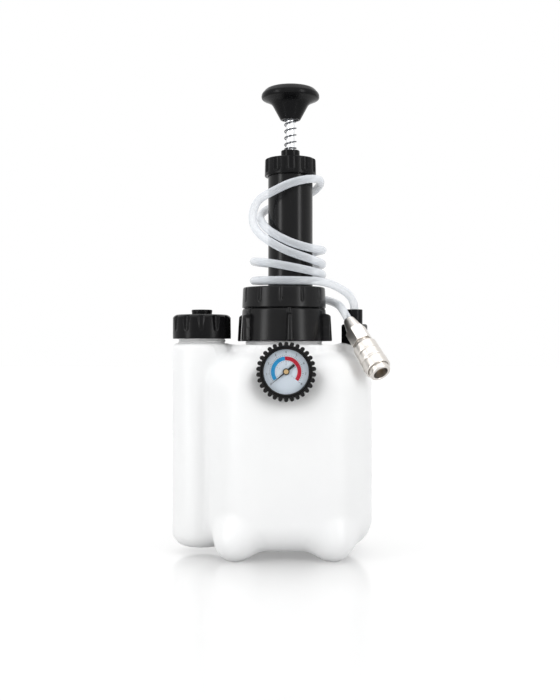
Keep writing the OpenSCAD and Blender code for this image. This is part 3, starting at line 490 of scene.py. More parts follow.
class NodeGroups:
    """Shader groups that more than one finish uses, each built once."""

    @staticmethod
    def _start(name: str, inputs: Mapping[str, str], outputs: Mapping[str, str]
               ) -> tuple[bpy.types.ShaderNodeTree, bpy.types.Node, bpy.types.Node]:
        """Begins a group with named sockets.

        Args:
            name: Its name.
            inputs: Kind of each input, by name.
            outputs: Kind of each output, by name.

        Returns:
            The group, its input node and its output node.
        """
        tree = bpy.data.node_groups.new(name, "ShaderNodeTree")
        for way, sockets in (("INPUT", inputs), ("OUTPUT", outputs)):
            for socket, kind in sockets.items():
                tree.interface.new_socket(socket, in_out=way, socket_type="NodeSocket" + kind)
        return tree, tree.nodes.new("NodeGroupInput"), tree.nodes.new("NodeGroupOutput")

    @classmethod
    def _start_marks(cls, name: str) -> tuple[bpy.types.ShaderNodeTree, bpy.types.Node, bpy.types.Node]:
        """Begins a group that gives roughness and height."""
        inputs = {"Vector": "Vector", "Scale": "Float", "Roughness": "Float", "Spread": "Float"}
        return cls._start(name, inputs, {"Roughness": "Float", "Height": "Float"})

    @staticmethod
    def _spread_gloss(tree: bpy.types.ShaderNodeTree, given: bpy.types.Node, noise: bpy.types.Node,
                      result: bpy.types.Node) -> None:
        """Works out the roughness: the given one plus the spread times the noise about its middle.

        Args:
            tree: Group to finish.
            given: Its input node.
            noise: Noise that the gloss follows.
            result: Its output node.
        """
        centre = add_node(tree, "ShaderNodeMath", {1: 0.5}, operation="SUBTRACT")
        spread = add_node(tree, "ShaderNodeMath", operation="MULTIPLY_ADD")
        wire(tree, (noise, "Fac", centre, 0), (centre, "Value", spread, 0), (given, "Spread", spread, 1),
             (given, "Roughness", spread, 2), (spread, "Value", result, "Roughness"))

    @classmethod
    @cache
    def cloudy_tint(cls) -> bpy.types.ShaderNodeTree:
        """Colour that drifts towards a second one in soft clouds: wide noise, mixed by an amount.

        Returns:
            The group.
        """
        inputs = {"Vector": "Vector", "Scale": "Float", "Amount": "Float", "Colour": "Color",
                  "Other Colour": "Color"}
        tree, given, result = cls._start("cloudy_tint", inputs, {"Colour": "Color"})
        noise = add_node(tree, "ShaderNodeTexNoise", {"Detail": 3.0})
        spread = add_node(tree, "ShaderNodeMapRange", {"From Min": 0.32, "From Max": 0.68})
        share = add_node(tree, "ShaderNodeMath", operation="MULTIPLY")
        mix = add_node(tree, "ShaderNodeMix")
        mix.data_type = "RGBA"
        wire(tree, (given, "Vector", noise, "Vector"), (given, "Scale", noise, "Scale"),
             (noise, "Fac", spread, "Value"), (spread, "Result", share, 0), (given, "Amount", share, 1),
             (share, "Value", mix, "Factor"), (given, "Colour", mix, "A"), (given, "Other Colour", mix, "B"),
             (mix, "Result", result, "Colour"))
        return tree

    @classmethod
    @cache
    def moulded_grain(cls) -> bpy.types.ShaderNodeTree:
        """Roughness and height of a moulded skin: fine grain over slow waves of gloss.

        Returns:
            The group.
        """
        tree, given, result = cls._start_marks("moulded_grain")
        grain = add_node(tree, "ShaderNodeTexNoise", {"Detail": 4.0})
        waves = add_node(tree, "ShaderNodeTexNoise", {"Scale": 38.0, "Detail": 2.0})
        wire(tree, (given, "Vector", grain, "Vector"), (given, "Vector", waves, "Vector"),
             (given, "Scale", grain, "Scale"), (grain, "Fac", result, "Height"))
        cls._spread_gloss(tree, given, waves, result)
        return tree

    @classmethod
    @cache
    def lathe_lines(cls) -> bpy.types.ShaderNodeTree:
        """Roughness and height of a turned surface: noise squeezed along the axis into fine rings.

        Returns:
            The group.
        """
        tree, given, result = cls._start_marks("lathe_lines")
        squeeze = add_node(tree, "ShaderNodeVectorMath", {1: (0.04, 0.04, 1.0)}, operation="MULTIPLY")
        lines = add_node(tree, "ShaderNodeTexNoise", {"Detail": 3.0})
        wire(tree, (given, "Vector", squeeze, 0), (squeeze, "Vector", lines, "Vector"),
             (given, "Scale", lines, "Scale"), (lines, "Fac", result, "Height"))
        cls._spread_gloss(tree, given, lines, result)
        return tree


@dataclass(frozen=True)
class Finish:
    """One surface: its colours, how rough and clear it is, and the marks of how it was made."""

    name: str
    slot: str
    colour: Colour
    other: Colour
    amount: float
    roughness: float
    spread: float = 0.06
    cloud_scale: float = 30.0
    mark_scale: float = 1500.0
    mark_height: float = 0.05
    pattern: Pattern = Pattern.MOULDED
    metallic: float = 0.0
    specular: float = 0.5
    subsurface: float = 0.0
    alpha: float = 1.0
    rim_alpha: Optional[float] = None
    lean: tuple[float, float, float] = (0.0, 0.0, 0.0)

    def material(self) -> bpy.types.Material:
        """Builds the material once: a tint, marks for roughness and bump, and plain values on the shader.

        Returns:
            The material.
        """
        known = bpy.data.materials.get(self.name)
        if known is not None:
            return known
        material = bpy.data.materials.new(self.name)
        material.use_nodes = True
        tree = material.node_tree
        shader = tree.nodes["Principled BSDF"]
        set_inputs(shader, {
            "Metallic": self.metallic, "Specular IOR Level": self.specular, "IOR": PLASTIC_IOR,
            "Subsurface Weight": self.subsurface, "Subsurface Radius": SUBSURFACE_REACH,
            "Subsurface Scale": 1.0, "Alpha": self.alpha})
        if self.rim_alpha is not None:
            facing = add_node(tree, "ShaderNodeLayerWeight")
            depth = add_node(tree, "ShaderNodeMapRange", {"To Min": self.alpha, "To Max": self.rim_alpha})
            wire(tree, (facing, "Facing", depth, "Value"), (depth, "Result", shader, "Alpha"))
        where = add_node(tree, "ShaderNodeTexCoord")
        turn = tuple(math.radians(v) for v in self.lean)
        lean = add_node(tree, "ShaderNodeMapping", {"Rotation": turn})
        tint = add_node(tree, "ShaderNodeGroup", {
            "Scale": self.cloud_scale, "Amount": self.amount, "Colour": (*self.colour, 1.0),
            "Other Colour": (*self.other, 1.0)}, group=NodeGroups.cloudy_tint())
        lathed = self.pattern is Pattern.TURNED
        marks = add_node(tree, "ShaderNodeGroup", {
            "Scale": self.mark_scale, "Roughness": self.roughness, "Spread": self.spread,
        }, group=NodeGroups.lathe_lines() if lathed else NodeGroups.moulded_grain())
        wire(tree, (where, "Object", lean, "Vector"), (lean, "Vector", tint, "Vector"),
             (lean, "Vector", marks, "Vector"), (tint, "Colour", shader, "Base Color"),
             (marks, "Roughness", shader, "Roughness"))
        if self.pattern is not Pattern.PRINTED:
            bump = add_node(tree, "ShaderNodeBump", {"Strength": self.mark_height, "Distance": BUMP_DEPTH})
            wire(tree, (marks, "Height", bump, "Height"), (bump, "Normal", shader, "Normal"))
        return material


MILKY_TANK = Finish(
    "milky_tank", "tank_plastic", (0.90, 0.905, 0.905), (0.86, 0.865, 0.87), 0.6, 0.36,
    cloud_scale=9.0, mark_scale=700.0, mark_height=0.04, subsurface=0.4, specular=0.4)
BLACK_MOULDING = Finish(
    "black_moulding", "black_plastic", (0.005, 0.005, 0.0055), (0.009, 0.009, 0.0095), 0.7, 0.25,
    spread=0.1, mark_scale=2200.0, mark_height=0.06, specular=0.2)
BLACK_GLOSS = Finish(
    "black_gloss", "black_plastic", (0.004, 0.004, 0.0045), (0.007, 0.007, 0.0075), 0.7, 0.25,
    spread=0.1, mark_scale=2200.0, specular=0.12)
BLACK_TUBE = Finish(
    "black_tube", "black_plastic", (0.0045, 0.0045, 0.005), (0.008, 0.008, 0.0085), 0.6, 0.22,
    spread=0.08, mark_scale=900.0, mark_height=0.03, specular=0.2)
BLACK_RUBBER = Finish(
    "black_rubber", "rubber", (0.006, 0.006, 0.006), (0.011, 0.011, 0.011), 0.8, 0.46,
    mark_scale=2600.0, mark_height=0.12, specular=0.2)
GREY_SEAL = Finish(
    "grey_seal", "seal", (0.035, 0.036, 0.038), (0.05, 0.05, 0.052), 0.7, 0.55, mark_height=0.1)
BRIGHT_CHROME = Finish(
    "bright_chrome", "chrome", (0.86, 0.87, 0.88), (0.80, 0.81, 0.83), 0.4, 0.34,
    pattern=Pattern.TURNED, mark_scale=5200.0, mark_height=0.02, metallic=1.0)
DARK_WIRE = Finish(
    "dark_wire", "spring_steel", (0.10, 0.105, 0.115), (0.16, 0.165, 0.175), 0.7, 0.3,
    spread=0.15, cloud_scale=220.0, mark_scale=3000.0, metallic=1.0)
SATIN_NICKEL = Finish(
    "satin_nickel", "nickel", (0.74, 0.71, 0.67), (0.67, 0.635, 0.595), 0.6, 0.32,
    spread=0.12, cloud_scale=120.0, pattern=Pattern.TURNED, mark_scale=6200.0, metallic=1.0,
    lean=(0.0, -COUPLER.tilt, -COUPLER.turn))
TURNED_BRASS = Finish(
    "turned_brass", "brass", (0.60, 0.42, 0.20), (0.48, 0.32, 0.15), 0.6, 0.28,
    spread=0.14, mark_scale=3000.0, metallic=1.0)
DIAL_ENAMEL = Finish(
    "dial_enamel", "dial", (0.62, 0.69, 0.76), (0.56, 0.63, 0.70), 0.5, 0.4,
    cloud_scale=60.0, pattern=Pattern.PRINTED, specular=0.2)
CLEAR_LENS = Finish(
    "clear_lens", "lens", (0.5, 0.52, 0.55), (0.46, 0.48, 0.51), 0.3, 0.04,
    spread=0.02, pattern=Pattern.PRINTED, alpha=0.02)
MILKY_HOSE = Finish(
    "milky_hose", "hose", (0.86, 0.89, 0.93), (0.79, 0.83, 0.88), 0.5, 0.12,
    cloud_scale=80.0, mark_scale=500.0, mark_height=0.03, alpha=0.36, rim_alpha=0.9)
BLUE_INK = Finish(
    "blue_ink", "dial", (0.012, 0.26, 0.55), (0.016, 0.30, 0.60), 0.5, 0.4,
    pattern=Pattern.PRINTED, specular=0.15)
RED_INK = Finish(
    "red_ink", "dial", (0.44, 0.003, 0.02), (0.50, 0.006, 0.03), 0.5, 0.4,
    pattern=Pattern.PRINTED, specular=0.15)
BLACK_INK = Finish(
    "black_ink", "dial", (0.008, 0.008, 0.012), (0.015, 0.015, 0.02), 0.5, 0.45,
    pattern=Pattern.PRINTED, specular=0.15)


@dataclass(frozen=True)
class Flutes:
    """Upright round grooves in a turned wall, whose lower ends are round."""

    count: int
    phase: float
    axis_r: float
    start_r: float
    full_r: float
    low: float
    wall_from: float
    run_in: float = 3.0
    fillet: float = 0.5

    def __call__(self, theta: np.ndarray, r: np.ndarray, z: np.ndarray) -> np.ndarray:
        """Radius of the wall, cut back where the nearest cutter starts nearer the axis.

        Args:
            theta: Angle.
            r: Radius of the wall.
            z: Height.

        Returns:
            Radius with flutes.
        """
        ease = np.clip((z - self.low) / self.run_in, 0.0, 1.0)
        cutter = self.start_r + (self.full_r - self.start_r) * np.sqrt(ease * (2 - ease))
        cut = post_reach(off_nearest(theta, self.count, self.phase), self.axis_r, cutter, near=True)
        return np.where((r > self.wall_from) & (z > self.low), soft_min(r, cut, self.fillet), r)


@dataclass
class Spring:
    """Helical spring with closed ends."""

    name: str
    low: float
    length: float
    radius: float
    wire: float
    turns: int
    coil_gap: float = 0.5
    turn_steps: int = 40
    wire_sides: int = 12

    def path(self) -> tuple[np.ndarray, np.ndarray]:
        """Middle of the wire: a helix that climbs slowly in its first and last turn and evenly between.

        Returns:
            Points of the helix and the direction outward at each.
        """
        close = self.wire + self.coil_gap
        rise = (self.length - self.wire - 2 * close) / self.turns
        turn = np.linspace(0.0, self.turns + 2.0, self.turn_steps * (self.turns + 2) + 1)
        opened = np.clip(turn - 1.0, 0.0, self.turns)
        a = FULL_TURN * turn
        z = self.low + self.wire / 2 + (turn - opened) * close + opened * rise
        out = np.stack([np.cos(a), np.sin(a), np.zeros_like(a)], axis=-1)
        return out * self.radius + np.stack([0 * z, 0 * z, z], axis=-1), out

    def build(self, place: Place, node: str, joint: str, travel: float) -> None:
        """Makes the spring.

        Args:
            place: Seat whose axis it is wound round.
            node: Node that it stands for.
            joint: Not used.
            travel: Not used.
        """
        path, out = self.path()
        maker = MeshMaker(self.name).grid(swept_tube(path, out, self.wire / 2, self.wire_sides), capped=True)
        coil = maker.finish(place, Body.FIXED, DARK_WIRE, sharp=70.0, replaces=[node])
        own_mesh(coil)


TANK_NODES = ("tank", "tank_base", "tank_shoulder", "waste_tank", "tank_feet")


@dataclass
class Tank:
    """Blow-moulded tank: a field of blended chambers, feet and seats, found along rays from inside."""

    centre_x: float = -12.0
    width: float = 164.0
    depth: float = 130.0
    low: float = 7.5
    top: float = 200.0
    corner_r: float = 55.0
    shoulder_r: float = 36.0
    base_r: float = 28.5
    neck_shift: float = 4.5
    seat_r: float = 41.5
    seat_left: float = -12.0
    seat_right: float = 20.0
    seat_top: float = 206.0
    seat_sunk: float = 24.0
    seat_low_edge: float = 2.0
    seat_edge: float = 2.2
    seat_blend: float = 4.0
    foot_r: float = 20.0
    foot_x: float = 46.5
    foot_y: float = 46.0
    foot_flat: float = 0.5
    foot_blend: float = 12.0
    waste_x: float = WASTE.origin[0]
    waste_r: float = 29.5
    waste_low: float = 6.5
    waste_top: float = 207.5
    waste_base_r: float = 15.0
    waste_shoulder_r: float = 5.0
    waste_blend: float = 9.0
    outlet_x: float = OUTLET.origin[0]
    outlet_r: float = 15.0
    outlet_edge: float = 2.0
    outlet_blend: float = 7.0
    gauge_at: Corner = GAUGE.origin
    dish_r: float = 40.0
    dish_floor_r: float = 28.4
    dish_depth: float = 5.0
    dish_blend: float = 2.4
    neck_r: float = 38.5
    neck_bore_r: float = 34.0
    neck_top: float = 232.0
    neck_sunk: float = 1.0
    waste_neck_r: float = 23.5
    waste_bore_r: float = 20.9
    waste_neck_top: float = 231.0
    thread_pitch: float = 4.0
    thread_depth: float = 0.8
    thread_peak: float = 1.4
    thread_slope: float = 5.0
    thread_stop: float = 3.0
    thread_fade: float = 1.5
    thread_step: float = 0.4
    rim_ease: float = 0.8
    wall_band: float = 0.05
    neck_sides: int = 180
    around: int = 320
    ray_from: float = 0.72
    ray_low: float = 75.0
    ray_high: float = 150.0
    ray_length: float = 125.0
    halvings: int = 26
    pole_share: float = 0.02
    rows: tuple[int, ...] = (44, 56, 56, 84, 60)

    @staticmethod
    def upright(plan: np.ndarray, z: np.ndarray, low: float, high: float, low_r: float,
                high_r: float) -> np.ndarray:
        """Distance to an upright form with round edges: the plan's and the height's, joined by an arc.

        Args:
            plan: Distance to the form's plan.
            z: Height.
            low: Underside.
            high: Top.
            low_r: Radius of the lower edge.
            high_r: Radius of the upper edge.

        Returns:
            Signed distance, negative inside.
        """
        r = np.where(z > (low + high) / 2, high_r, low_r)
        across = plan + r
        up = np.abs(z - (low + high) / 2) - (high - low) / 2 + r
        outside = np.hypot(np.maximum(across, 0.0), np.maximum(up, 0.0))
        return outside + np.minimum(np.maximum(across, up), 0.0) - r

    def distance(self, p: np.ndarray) -> np.ndarray:
        """Blended distance to the tank's outside, from those to its chambers, feet, seats and dish.

        Args:
            p: Array whose last axis is x, y and z.

        Returns:
            Signed distance, negative inside.
        """
        x, y, z = p[..., 0], p[..., 1], p[..., 2]
        side = np.abs(x - self.neck_shift) - self.width / 2 + self.corner_r
        front = np.abs(y) - self.depth / 2 + self.corner_r
        plan = np.hypot(np.maximum(side, 0), np.maximum(front, 0)) + np.minimum(np.maximum(side, front), 0)
        body = self.upright(plan - self.corner_r, z, self.low, self.top, self.base_r, self.shoulder_r)
        gauge_x, dish_y, gauge_z = self.gauge_at
        slope = (self.dish_r - self.dish_floor_r) / self.dish_depth
        edge = self.dish_floor_r + slope * (dish_y - y)
        cone = (np.hypot(x - gauge_x, z - gauge_z) - edge) / math.hypot(1.0, slope)
        body = soft_max(body, -np.maximum(cone, y - dish_y), self.dish_blend)
        waste = self.upright(np.hypot(x - self.waste_x, y) - self.waste_r, z, self.waste_low, self.waste_top,
                             self.waste_base_r, self.waste_shoulder_r)
        body = soft_min(body, waste, self.waste_blend)
        foot_z = self.foot_r - self.foot_flat
        off = (np.abs(x) - self.foot_x) ** 2 + (np.abs(y) - self.foot_y) ** 2 + (z - foot_z) ** 2
        body = soft_min(body, np.sqrt(off) - self.foot_r, self.foot_blend)
        seat_plan = np.hypot(x - np.clip(x, self.seat_left, self.seat_right), y) - self.seat_r
        seat = self.upright(seat_plan, z, self.top - self.seat_sunk, self.seat_top, self.seat_low_edge,
                            self.seat_edge)
        body = soft_min(body, seat, self.seat_blend)
        outlet = self.upright(np.hypot(x - self.outlet_x, y) - self.outlet_r, z, self.top - self.shoulder_r,
                              self.seat_top, self.outlet_edge, self.outlet_edge)
        body = soft_min(body, outlet, self.outlet_blend)
        return np.maximum(body, -z)

    def along_rays(self, start: np.ndarray, way: np.ndarray) -> np.ndarray:
        """First point outside on each ray, by halving the stretch in which the distance changes sign.

        Args:
            start: Array of points inside.
            way: Array of unit directions.

        Returns:
            Array of points on the surface.
        """
        near = np.zeros(start.shape[:-1])
        far = np.full(start.shape[:-1], self.ray_length)
        for _ in range(self.halvings):
            middle = (near + far) / 2
            inside = self.distance(start + way * middle[..., None]) < 0
            near = np.where(inside, middle, near)
            far = np.where(inside, far, middle)
        return start + way * far[..., None]

    def skin(self) -> np.ndarray:
        """Grid on the tank's outside: rays point down, swing out round its base, rise, and point up.

        Returns:
            Array of round by along by 3.
        """
        theta = angles(self.around)
        way = np.stack([np.cos(theta), np.sin(theta), np.zeros_like(theta)], axis=-1)
        middle = np.array([self.centre_x, 0.0, (self.ray_low + self.ray_high) / 2])
        edge = self.along_rays(np.broadcast_to(middle, way.shape), way)
        reach = np.linalg.norm(edge - middle, axis=1)[:, None] * self.ray_from
        under, lower, side, upper, over = self.rows
        share = np.concatenate([np.linspace(self.pole_share, 1, under, endpoint=False),
                                np.ones(lower + side + upper), np.linspace(1, self.pole_share, over)])
        height = np.concatenate([np.full(under + lower, self.ray_low),
                                 np.linspace(self.ray_low, self.ray_high, side, endpoint=False),
                                 np.full(upper + over, self.ray_high)])
        tilt = np.concatenate([np.full(under, -QUARTER), np.linspace(-QUARTER, 0, lower, endpoint=False),
                               np.zeros(side), np.linspace(0, QUARTER, upper, endpoint=False),
                               np.full(over, QUARTER)])
        out = reach * share[None, :]
        start = way[:, None] * out[..., None]
        start = start + np.stack([np.full_like(height, self.centre_x), 0 * height, height], axis=-1)
        upward = np.stack([0 * tilt, 0 * tilt, np.sin(tilt)], axis=-1)
        return self.along_rays(start, way[:, None] * np.cos(tilt)[None, :, None] + upward)

    def threaded_neck(self, outer: float, bore: float, low: float, high: float) -> np.ndarray:
        """Neck with a screw thread: a soft ridge where the height, less the turn, meets the pitch.

        Args:
            outer: Radius over the thread.
            bore: Inner radius.
            low: Lower end.
            high: Rim.

        Returns:
            Array of round by along by 3.
        """
        wall = outer - self.wall_band
        corners = [(bore, low, 0), (outer, low, 0), (outer, high, self.rim_ease),
                   (bore, high, self.rim_ease)]
        line = even_steps(rounded(corners, steps=4, closed=True), self.thread_step, closed=True)

        def ridge(theta: np.ndarray, r: np.ndarray, z: np.ndarray) -> np.ndarray:
            """Radius with the thread's ridge on the outer wall only, which runs out below the rim.

            Args:
                theta: Angle.
                r: Radius of the wall.
                z: Height.

            Returns:
                Radius with the ridge.
            """
            turn = (z / self.thread_pitch - theta / FULL_TURN) % 1.0
            crest = np.clip(self.thread_peak - self.thread_slope * np.abs(turn - 0.5), 0.0, 1.0)
            run = np.clip((high - self.thread_stop - z) / self.thread_fade, 0.0, 1.0)
            return np.where(r > wall, outer - self.thread_depth * (1.0 - crest * run), r)

        return turned(line, angles(self.neck_sides), ridge)

    def build(self) -> None:
        """Makes the shell with both necks, in place of the tank's nodes."""
        neck = self.threaded_neck(self.neck_r, self.neck_bore_r, self.seat_top - self.neck_sunk,
                                  self.neck_top)
        waste = self.threaded_neck(self.waste_neck_r, self.waste_bore_r, self.waste_top - self.neck_sunk,
                                   self.waste_neck_top)
        maker = MeshMaker("tank_shell").grid(self.skin(), capped=True).grid(neck, loop=True)
        maker.grid(waste + np.array(WASTE.origin), loop=True)
        maker.finish(NECK, Body.FIXED, MILKY_TANK, sharp=60.0, replaces=TANK_NODES)


@dataclass
class LidAndRing:
    """Lid nut with raised ribs, and the fluted pump ring above it."""

    nut_low: float = 209.6
    nut_top: float = 242.0
    nut_r: float = 43.5
    draft: float = 2.0
    neck_bore: float = 38.8
    ceiling: float = 237.5
    collar_bore: float = 33.3
    ribs: int = 6
    rib_r: float = 3.8
    rib_out: float = 3.7
    rib_phase: float = -83.0
    rib_stop: float = 236.5
    rib_head: float = 3.0
    rib_foot: float = 1.2
    rib_tuck: float = 0.6
    rib_taper: float = 0.8
    rib_fillet: float = 0.9
    top_ease: float = 2.6
    ring_low: float = 242.6
    ring_top: float = 263.0
    ring_r: float = 41.8
    ring_bore: float = 33.1
    ring_ceiling: float = 258.4
    ring_deck: float = 3.0
    barrel_hole: float = 22.5
    flutes: int = 12
    flute_r: float = 2.2
    flute_out: float = 0.6
    flute_low: float = 247.6
    flute_phase: float = -94.4
    flute_wall: float = 3.0

    def nut_shape(self, theta: np.ndarray, r: np.ndarray, z: np.ndarray) -> np.ndarray:
        """Radius of the nut: its wall, or an upright rib with a round tip where that reaches further.

        Args:
            theta: Angle.
            r: Radius of the wall.
            z: Height.

        Returns:
            Radius with ribs.
        """
        rise = np.clip((z - self.nut_low) / (self.rib_stop - self.nut_low), 0, 1)
        head = np.clip((z - self.rib_stop + self.rib_head) / self.rib_head, 0, 1)
        foot = np.clip((self.nut_low + self.rib_foot - z) / self.rib_foot, 0, 1)
        post = self.rib_r - self.rib_taper * self.draft * rise
        fall = (self.rib_out + post) * (1 - np.sqrt(1 - head ** 2))
        tip = self.nut_r + self.rib_out - self.rib_tuck * foot ** 2 - fall
        rib = post_reach(off_nearest(theta, self.ribs, self.rib_phase), tip, post, near=False)
        return np.where(r > self.nut_r - self.draft - self.top_ease, soft_max(r, rib, self.rib_fillet), r)

    def build_nut(self) -> None:
        """Makes the lid nut from its closed outline."""
        corners = [(self.neck_bore, self.nut_low, 0.5), (self.nut_r, self.nut_low, 1.2),
                   (self.nut_r - self.draft, self.nut_top, self.top_ease),
                   (self.collar_bore, self.nut_top, 0.4), (self.collar_bore, self.ceiling, 0.0),
                   (self.neck_bore, self.ceiling, 0.0)]
        maker = MeshMaker("lid_nut_body").lathe(corners, spacing=0.8, theta=angles(540),
                                                shape=self.nut_shape)
        maker.finish(NECK, Body.FIXED, BLACK_MOULDING, replaces=["lid_nut"])

    def build_ring(self) -> None:
        """Makes the pump ring, whose deck slides over by degrees to a hole that lies off its axis."""
        corners = [(self.ring_bore, self.ring_low, 0.3), (self.ring_r, self.ring_low, 0.9),
                   (self.ring_r - 0.9, self.ring_top, 1.8), (self.barrel_hole, self.ring_top, 0.4),
                   (self.barrel_hole, self.ring_ceiling, 0.0), (self.ring_bore, self.ring_ceiling, 0.0)]
        line = even_steps(rounded(corners, closed=True), spacing=0.8, closed=True)
        r, z = line.T
        start = self.ring_bore + self.ring_deck
        share = np.clip((start - r) / (start - self.barrel_hole), 0, 1)
        inner_wall = (r > self.ring_bore - SLACK) & (z < self.ring_ceiling + SLACK)
        shift = np.where((z >= self.ring_ceiling - SLACK) & ~inner_wall, PUMP_X * share, 0.0)
        shape = Flutes(self.flutes, self.flute_phase, self.ring_r + self.flute_out, TINY, self.flute_r,
                       self.flute_low, wall_from=self.ring_r - self.flute_wall)
        maker = MeshMaker("pump_ring_body").grid(turned(line, angles(720), shape, shift), loop=True)
        maker.finish(NECK, Body.FIXED, BLACK_MOULDING, replaces=["pump_ring"])

    def build(self) -> None:
        """Makes both pieces."""
        self.build_nut()
        self.build_ring()


@dataclass
class WasteCap:
    """Screw cap of the waste chamber, with scallops that fade out towards its lower edge."""

    low: float = 212.0
    deck: float = 236.0
    radius: float = 29.0
    bore: float = 23.8
    ceiling: float = 233.0
    button_r: float = 10.5
    button_h: float = 5.0
    scallops: int = 12
    phase: float = 3.0
    cutter_out: float = 3.2
    cutter_bite: float = 0.3
    cutter_gain: float = 2.3
    rise_from: float = 5.0
    fade_from: float = 3.0
    fade_run: float = 6.0
    wall: float = 6.0
    fillet: float = 0.8

    def shape(self, theta: np.ndarray, r: np.ndarray, z: np.ndarray) -> np.ndarray:
        """Radius of the cap: its wall, cut back by upright cutters that widen with height.

        Args:
            theta: Angle.
            r: Radius of the wall.
            z: Height.

        Returns:
            Radius with scallops.
        """
        rise = np.clip((z - self.low - self.rise_from) / (self.deck - self.low), 0.0, 1.0)
        fade = np.clip((z - self.low - self.fade_from) / self.fade_run, 0.0, 1.0)
        cutter = (self.cutter_out + self.cutter_bite + self.cutter_gain * rise) * fade + TINY
        off = off_nearest(theta, self.scallops, self.phase)
        cut = post_reach(off, self.radius + self.cutter_out, cutter, near=True)
        return np.where(r > self.radius - self.wall, soft_min(r, cut, self.fillet), r)

    def build(self) -> None:
        """Makes the cap with its button on top and its thread bore below."""
        crown = self.deck + self.button_h
        corners = [(0.0, self.ceiling, 0), (self.bore, self.ceiling, 0.3), (self.bore, self.low, 0.4),
                   (self.radius, self.low, 0.6), (self.radius, self.deck - 2.5, 1.4),
                   (self.radius - 3.5, self.deck, 1.4), (self.button_r - 0.6, self.deck, 0.6),
                   (self.button_r, crown, 1.3), (0.0, crown, 0)]
        maker = MeshMaker("waste_cap_body").lathe(corners, spacing=0.7, theta=angles(480),
                                                  shape=self.shape, tip=0.4)
        maker.finish(WASTE, Body.WASTE_LID, BLACK_GLOSS, replaces=["waste_cap"])


@dataclass
class Pump:
    """Barrel, fluted cap, buffer spring, and the knob on its rod."""

    barrel_r: float = 22.2
    barrel_bore: float = 19.8
    barrel_low: float = 130.0
    barrel_top: float = 387.0
    cap_low: float = 374.0
    cap_deck: float = 391.5
    cap_r: float = 25.7
    cap_bore: float = 22.3
    cap_ceiling: float = 387.0
    bush_bore: float = 6.9
    collar_r: float = 9.3
    collar_top: float = 400.0
    flutes: int = 11
    flute_phase: float = 9.16
    flute_r: float = 6.0
    flute_out: float = 4.0
    flute_gap: float = 0.4
    flute_rise: float = 2.4
    flute_wall: float = 4.5
    spring_r: float = 5.6
    wire: float = 1.3
    open_turns: int = 4
    spring_low: float = 400.05
    spring_top: float = 431.65
    travel: float = 14.0
    knob_low: float = 430.5
    knob_h: float = 33.5
    knob_r: float = 28.9
    knob_foot_r: float = 9.8
    recess_r: float = 7.6
    recess_top: float = 433.5
    rod_bore: float = 4.4
    rod_top: float = 453.95

    def build_barrel(self) -> None:
        """Makes the barrel from its closed outline."""
        corners = [(self.barrel_bore, self.barrel_low, 0.3), (self.barrel_r, self.barrel_low, 0.5),
                   (self.barrel_r, self.barrel_top, 0.5), (self.barrel_bore, self.barrel_top, 0.3)]
        maker = MeshMaker("barrel_tube").lathe(corners, spacing=6.0, theta=angles(192))
        maker.finish(PUMP, Body.FIXED, BLACK_TUBE, replaces=["pump_barrel"])

    def build_cap(self) -> None:
        """Makes the cap with its flutes and its guide collar."""
        corners = [(self.bush_bore, self.cap_ceiling, 0.0), (self.cap_bore, self.cap_ceiling, 0.3),
                   (self.cap_bore, self.cap_low, 0.3), (self.cap_r, self.cap_low, 0.7),
                   (self.cap_r - 0.4, self.cap_deck - 0.4, 1.8),
                   (self.collar_r + 3.0, self.cap_deck + 0.6, 1.0),
                   (self.collar_r, self.cap_deck + 0.7, 0.8), (self.collar_r, self.collar_top, 1.3),
                   (self.bush_bore, self.collar_top, 0.3)]
        shape = Flutes(self.flutes, self.flute_phase, self.cap_r + self.flute_out,
                       self.flute_out - self.flute_gap, self.flute_r, self.cap_low + self.flute_rise,
                       wall_from=self.cap_r - self.flute_wall)
        maker = MeshMaker("pump_cap_body").lathe(corners, spacing=0.6, theta=angles(480), shape=shape)
        maker.finish(PUMP, Body.FIXED, BLACK_GLOSS, replaces=["pump_cap", "pump_collar"])

    def build_spring(self) -> None:
        """Makes the buffer spring."""
        spring = Spring("buffer_coil", self.spring_low, self.spring_top - self.spring_low, self.spring_r,
                        self.wire, self.open_turns)
        spring.build(PUMP, "buffer_spring", "buffer_press", self.travel)

    def build_knob(self) -> None:
        """Makes the knob: a cone under a thick rim, with a low dome on top."""
        crown = self.knob_low + self.knob_h
        socket = [(0.0, self.rod_top, 0), (self.rod_bore, self.rod_top, 0),
                  (self.rod_bore, self.recess_top, 0.3), (self.recess_r, self.recess_top, 0.2),
                  (self.recess_r, self.knob_low, 0.4), (self.knob_foot_r, self.knob_low, 0.8)]
        outside = ((0.65, 17.0, 3.4), (0.88, 13.8, 1.8), (1.0, 12.4, 1.6), (1.0, 8.2, 1.8), (0.84, 2.8, 2.6),
                   (0.5, 0.7, 4.0), (0.24, 0.05, 3.0), (0.0, 0.0, 0.0))
        corners = socket + [(share * self.knob_r, crown - down, ease) for share, down, ease in outside]
        maker = MeshMaker("knob_body").lathe(corners, spacing=1.6, theta=angles(200), tip=0.3, steps=9)
        maker.finish(PUMP, Body.PLUNGER, BLACK_GLOSS, sharp=50.0, replaces=["knob"])

    def build(self) -> None:
        """Makes every piece of the pump that shows."""
        self.build_barrel()
        self.build_cap()
        self.build_spring()
        self.build_knob()


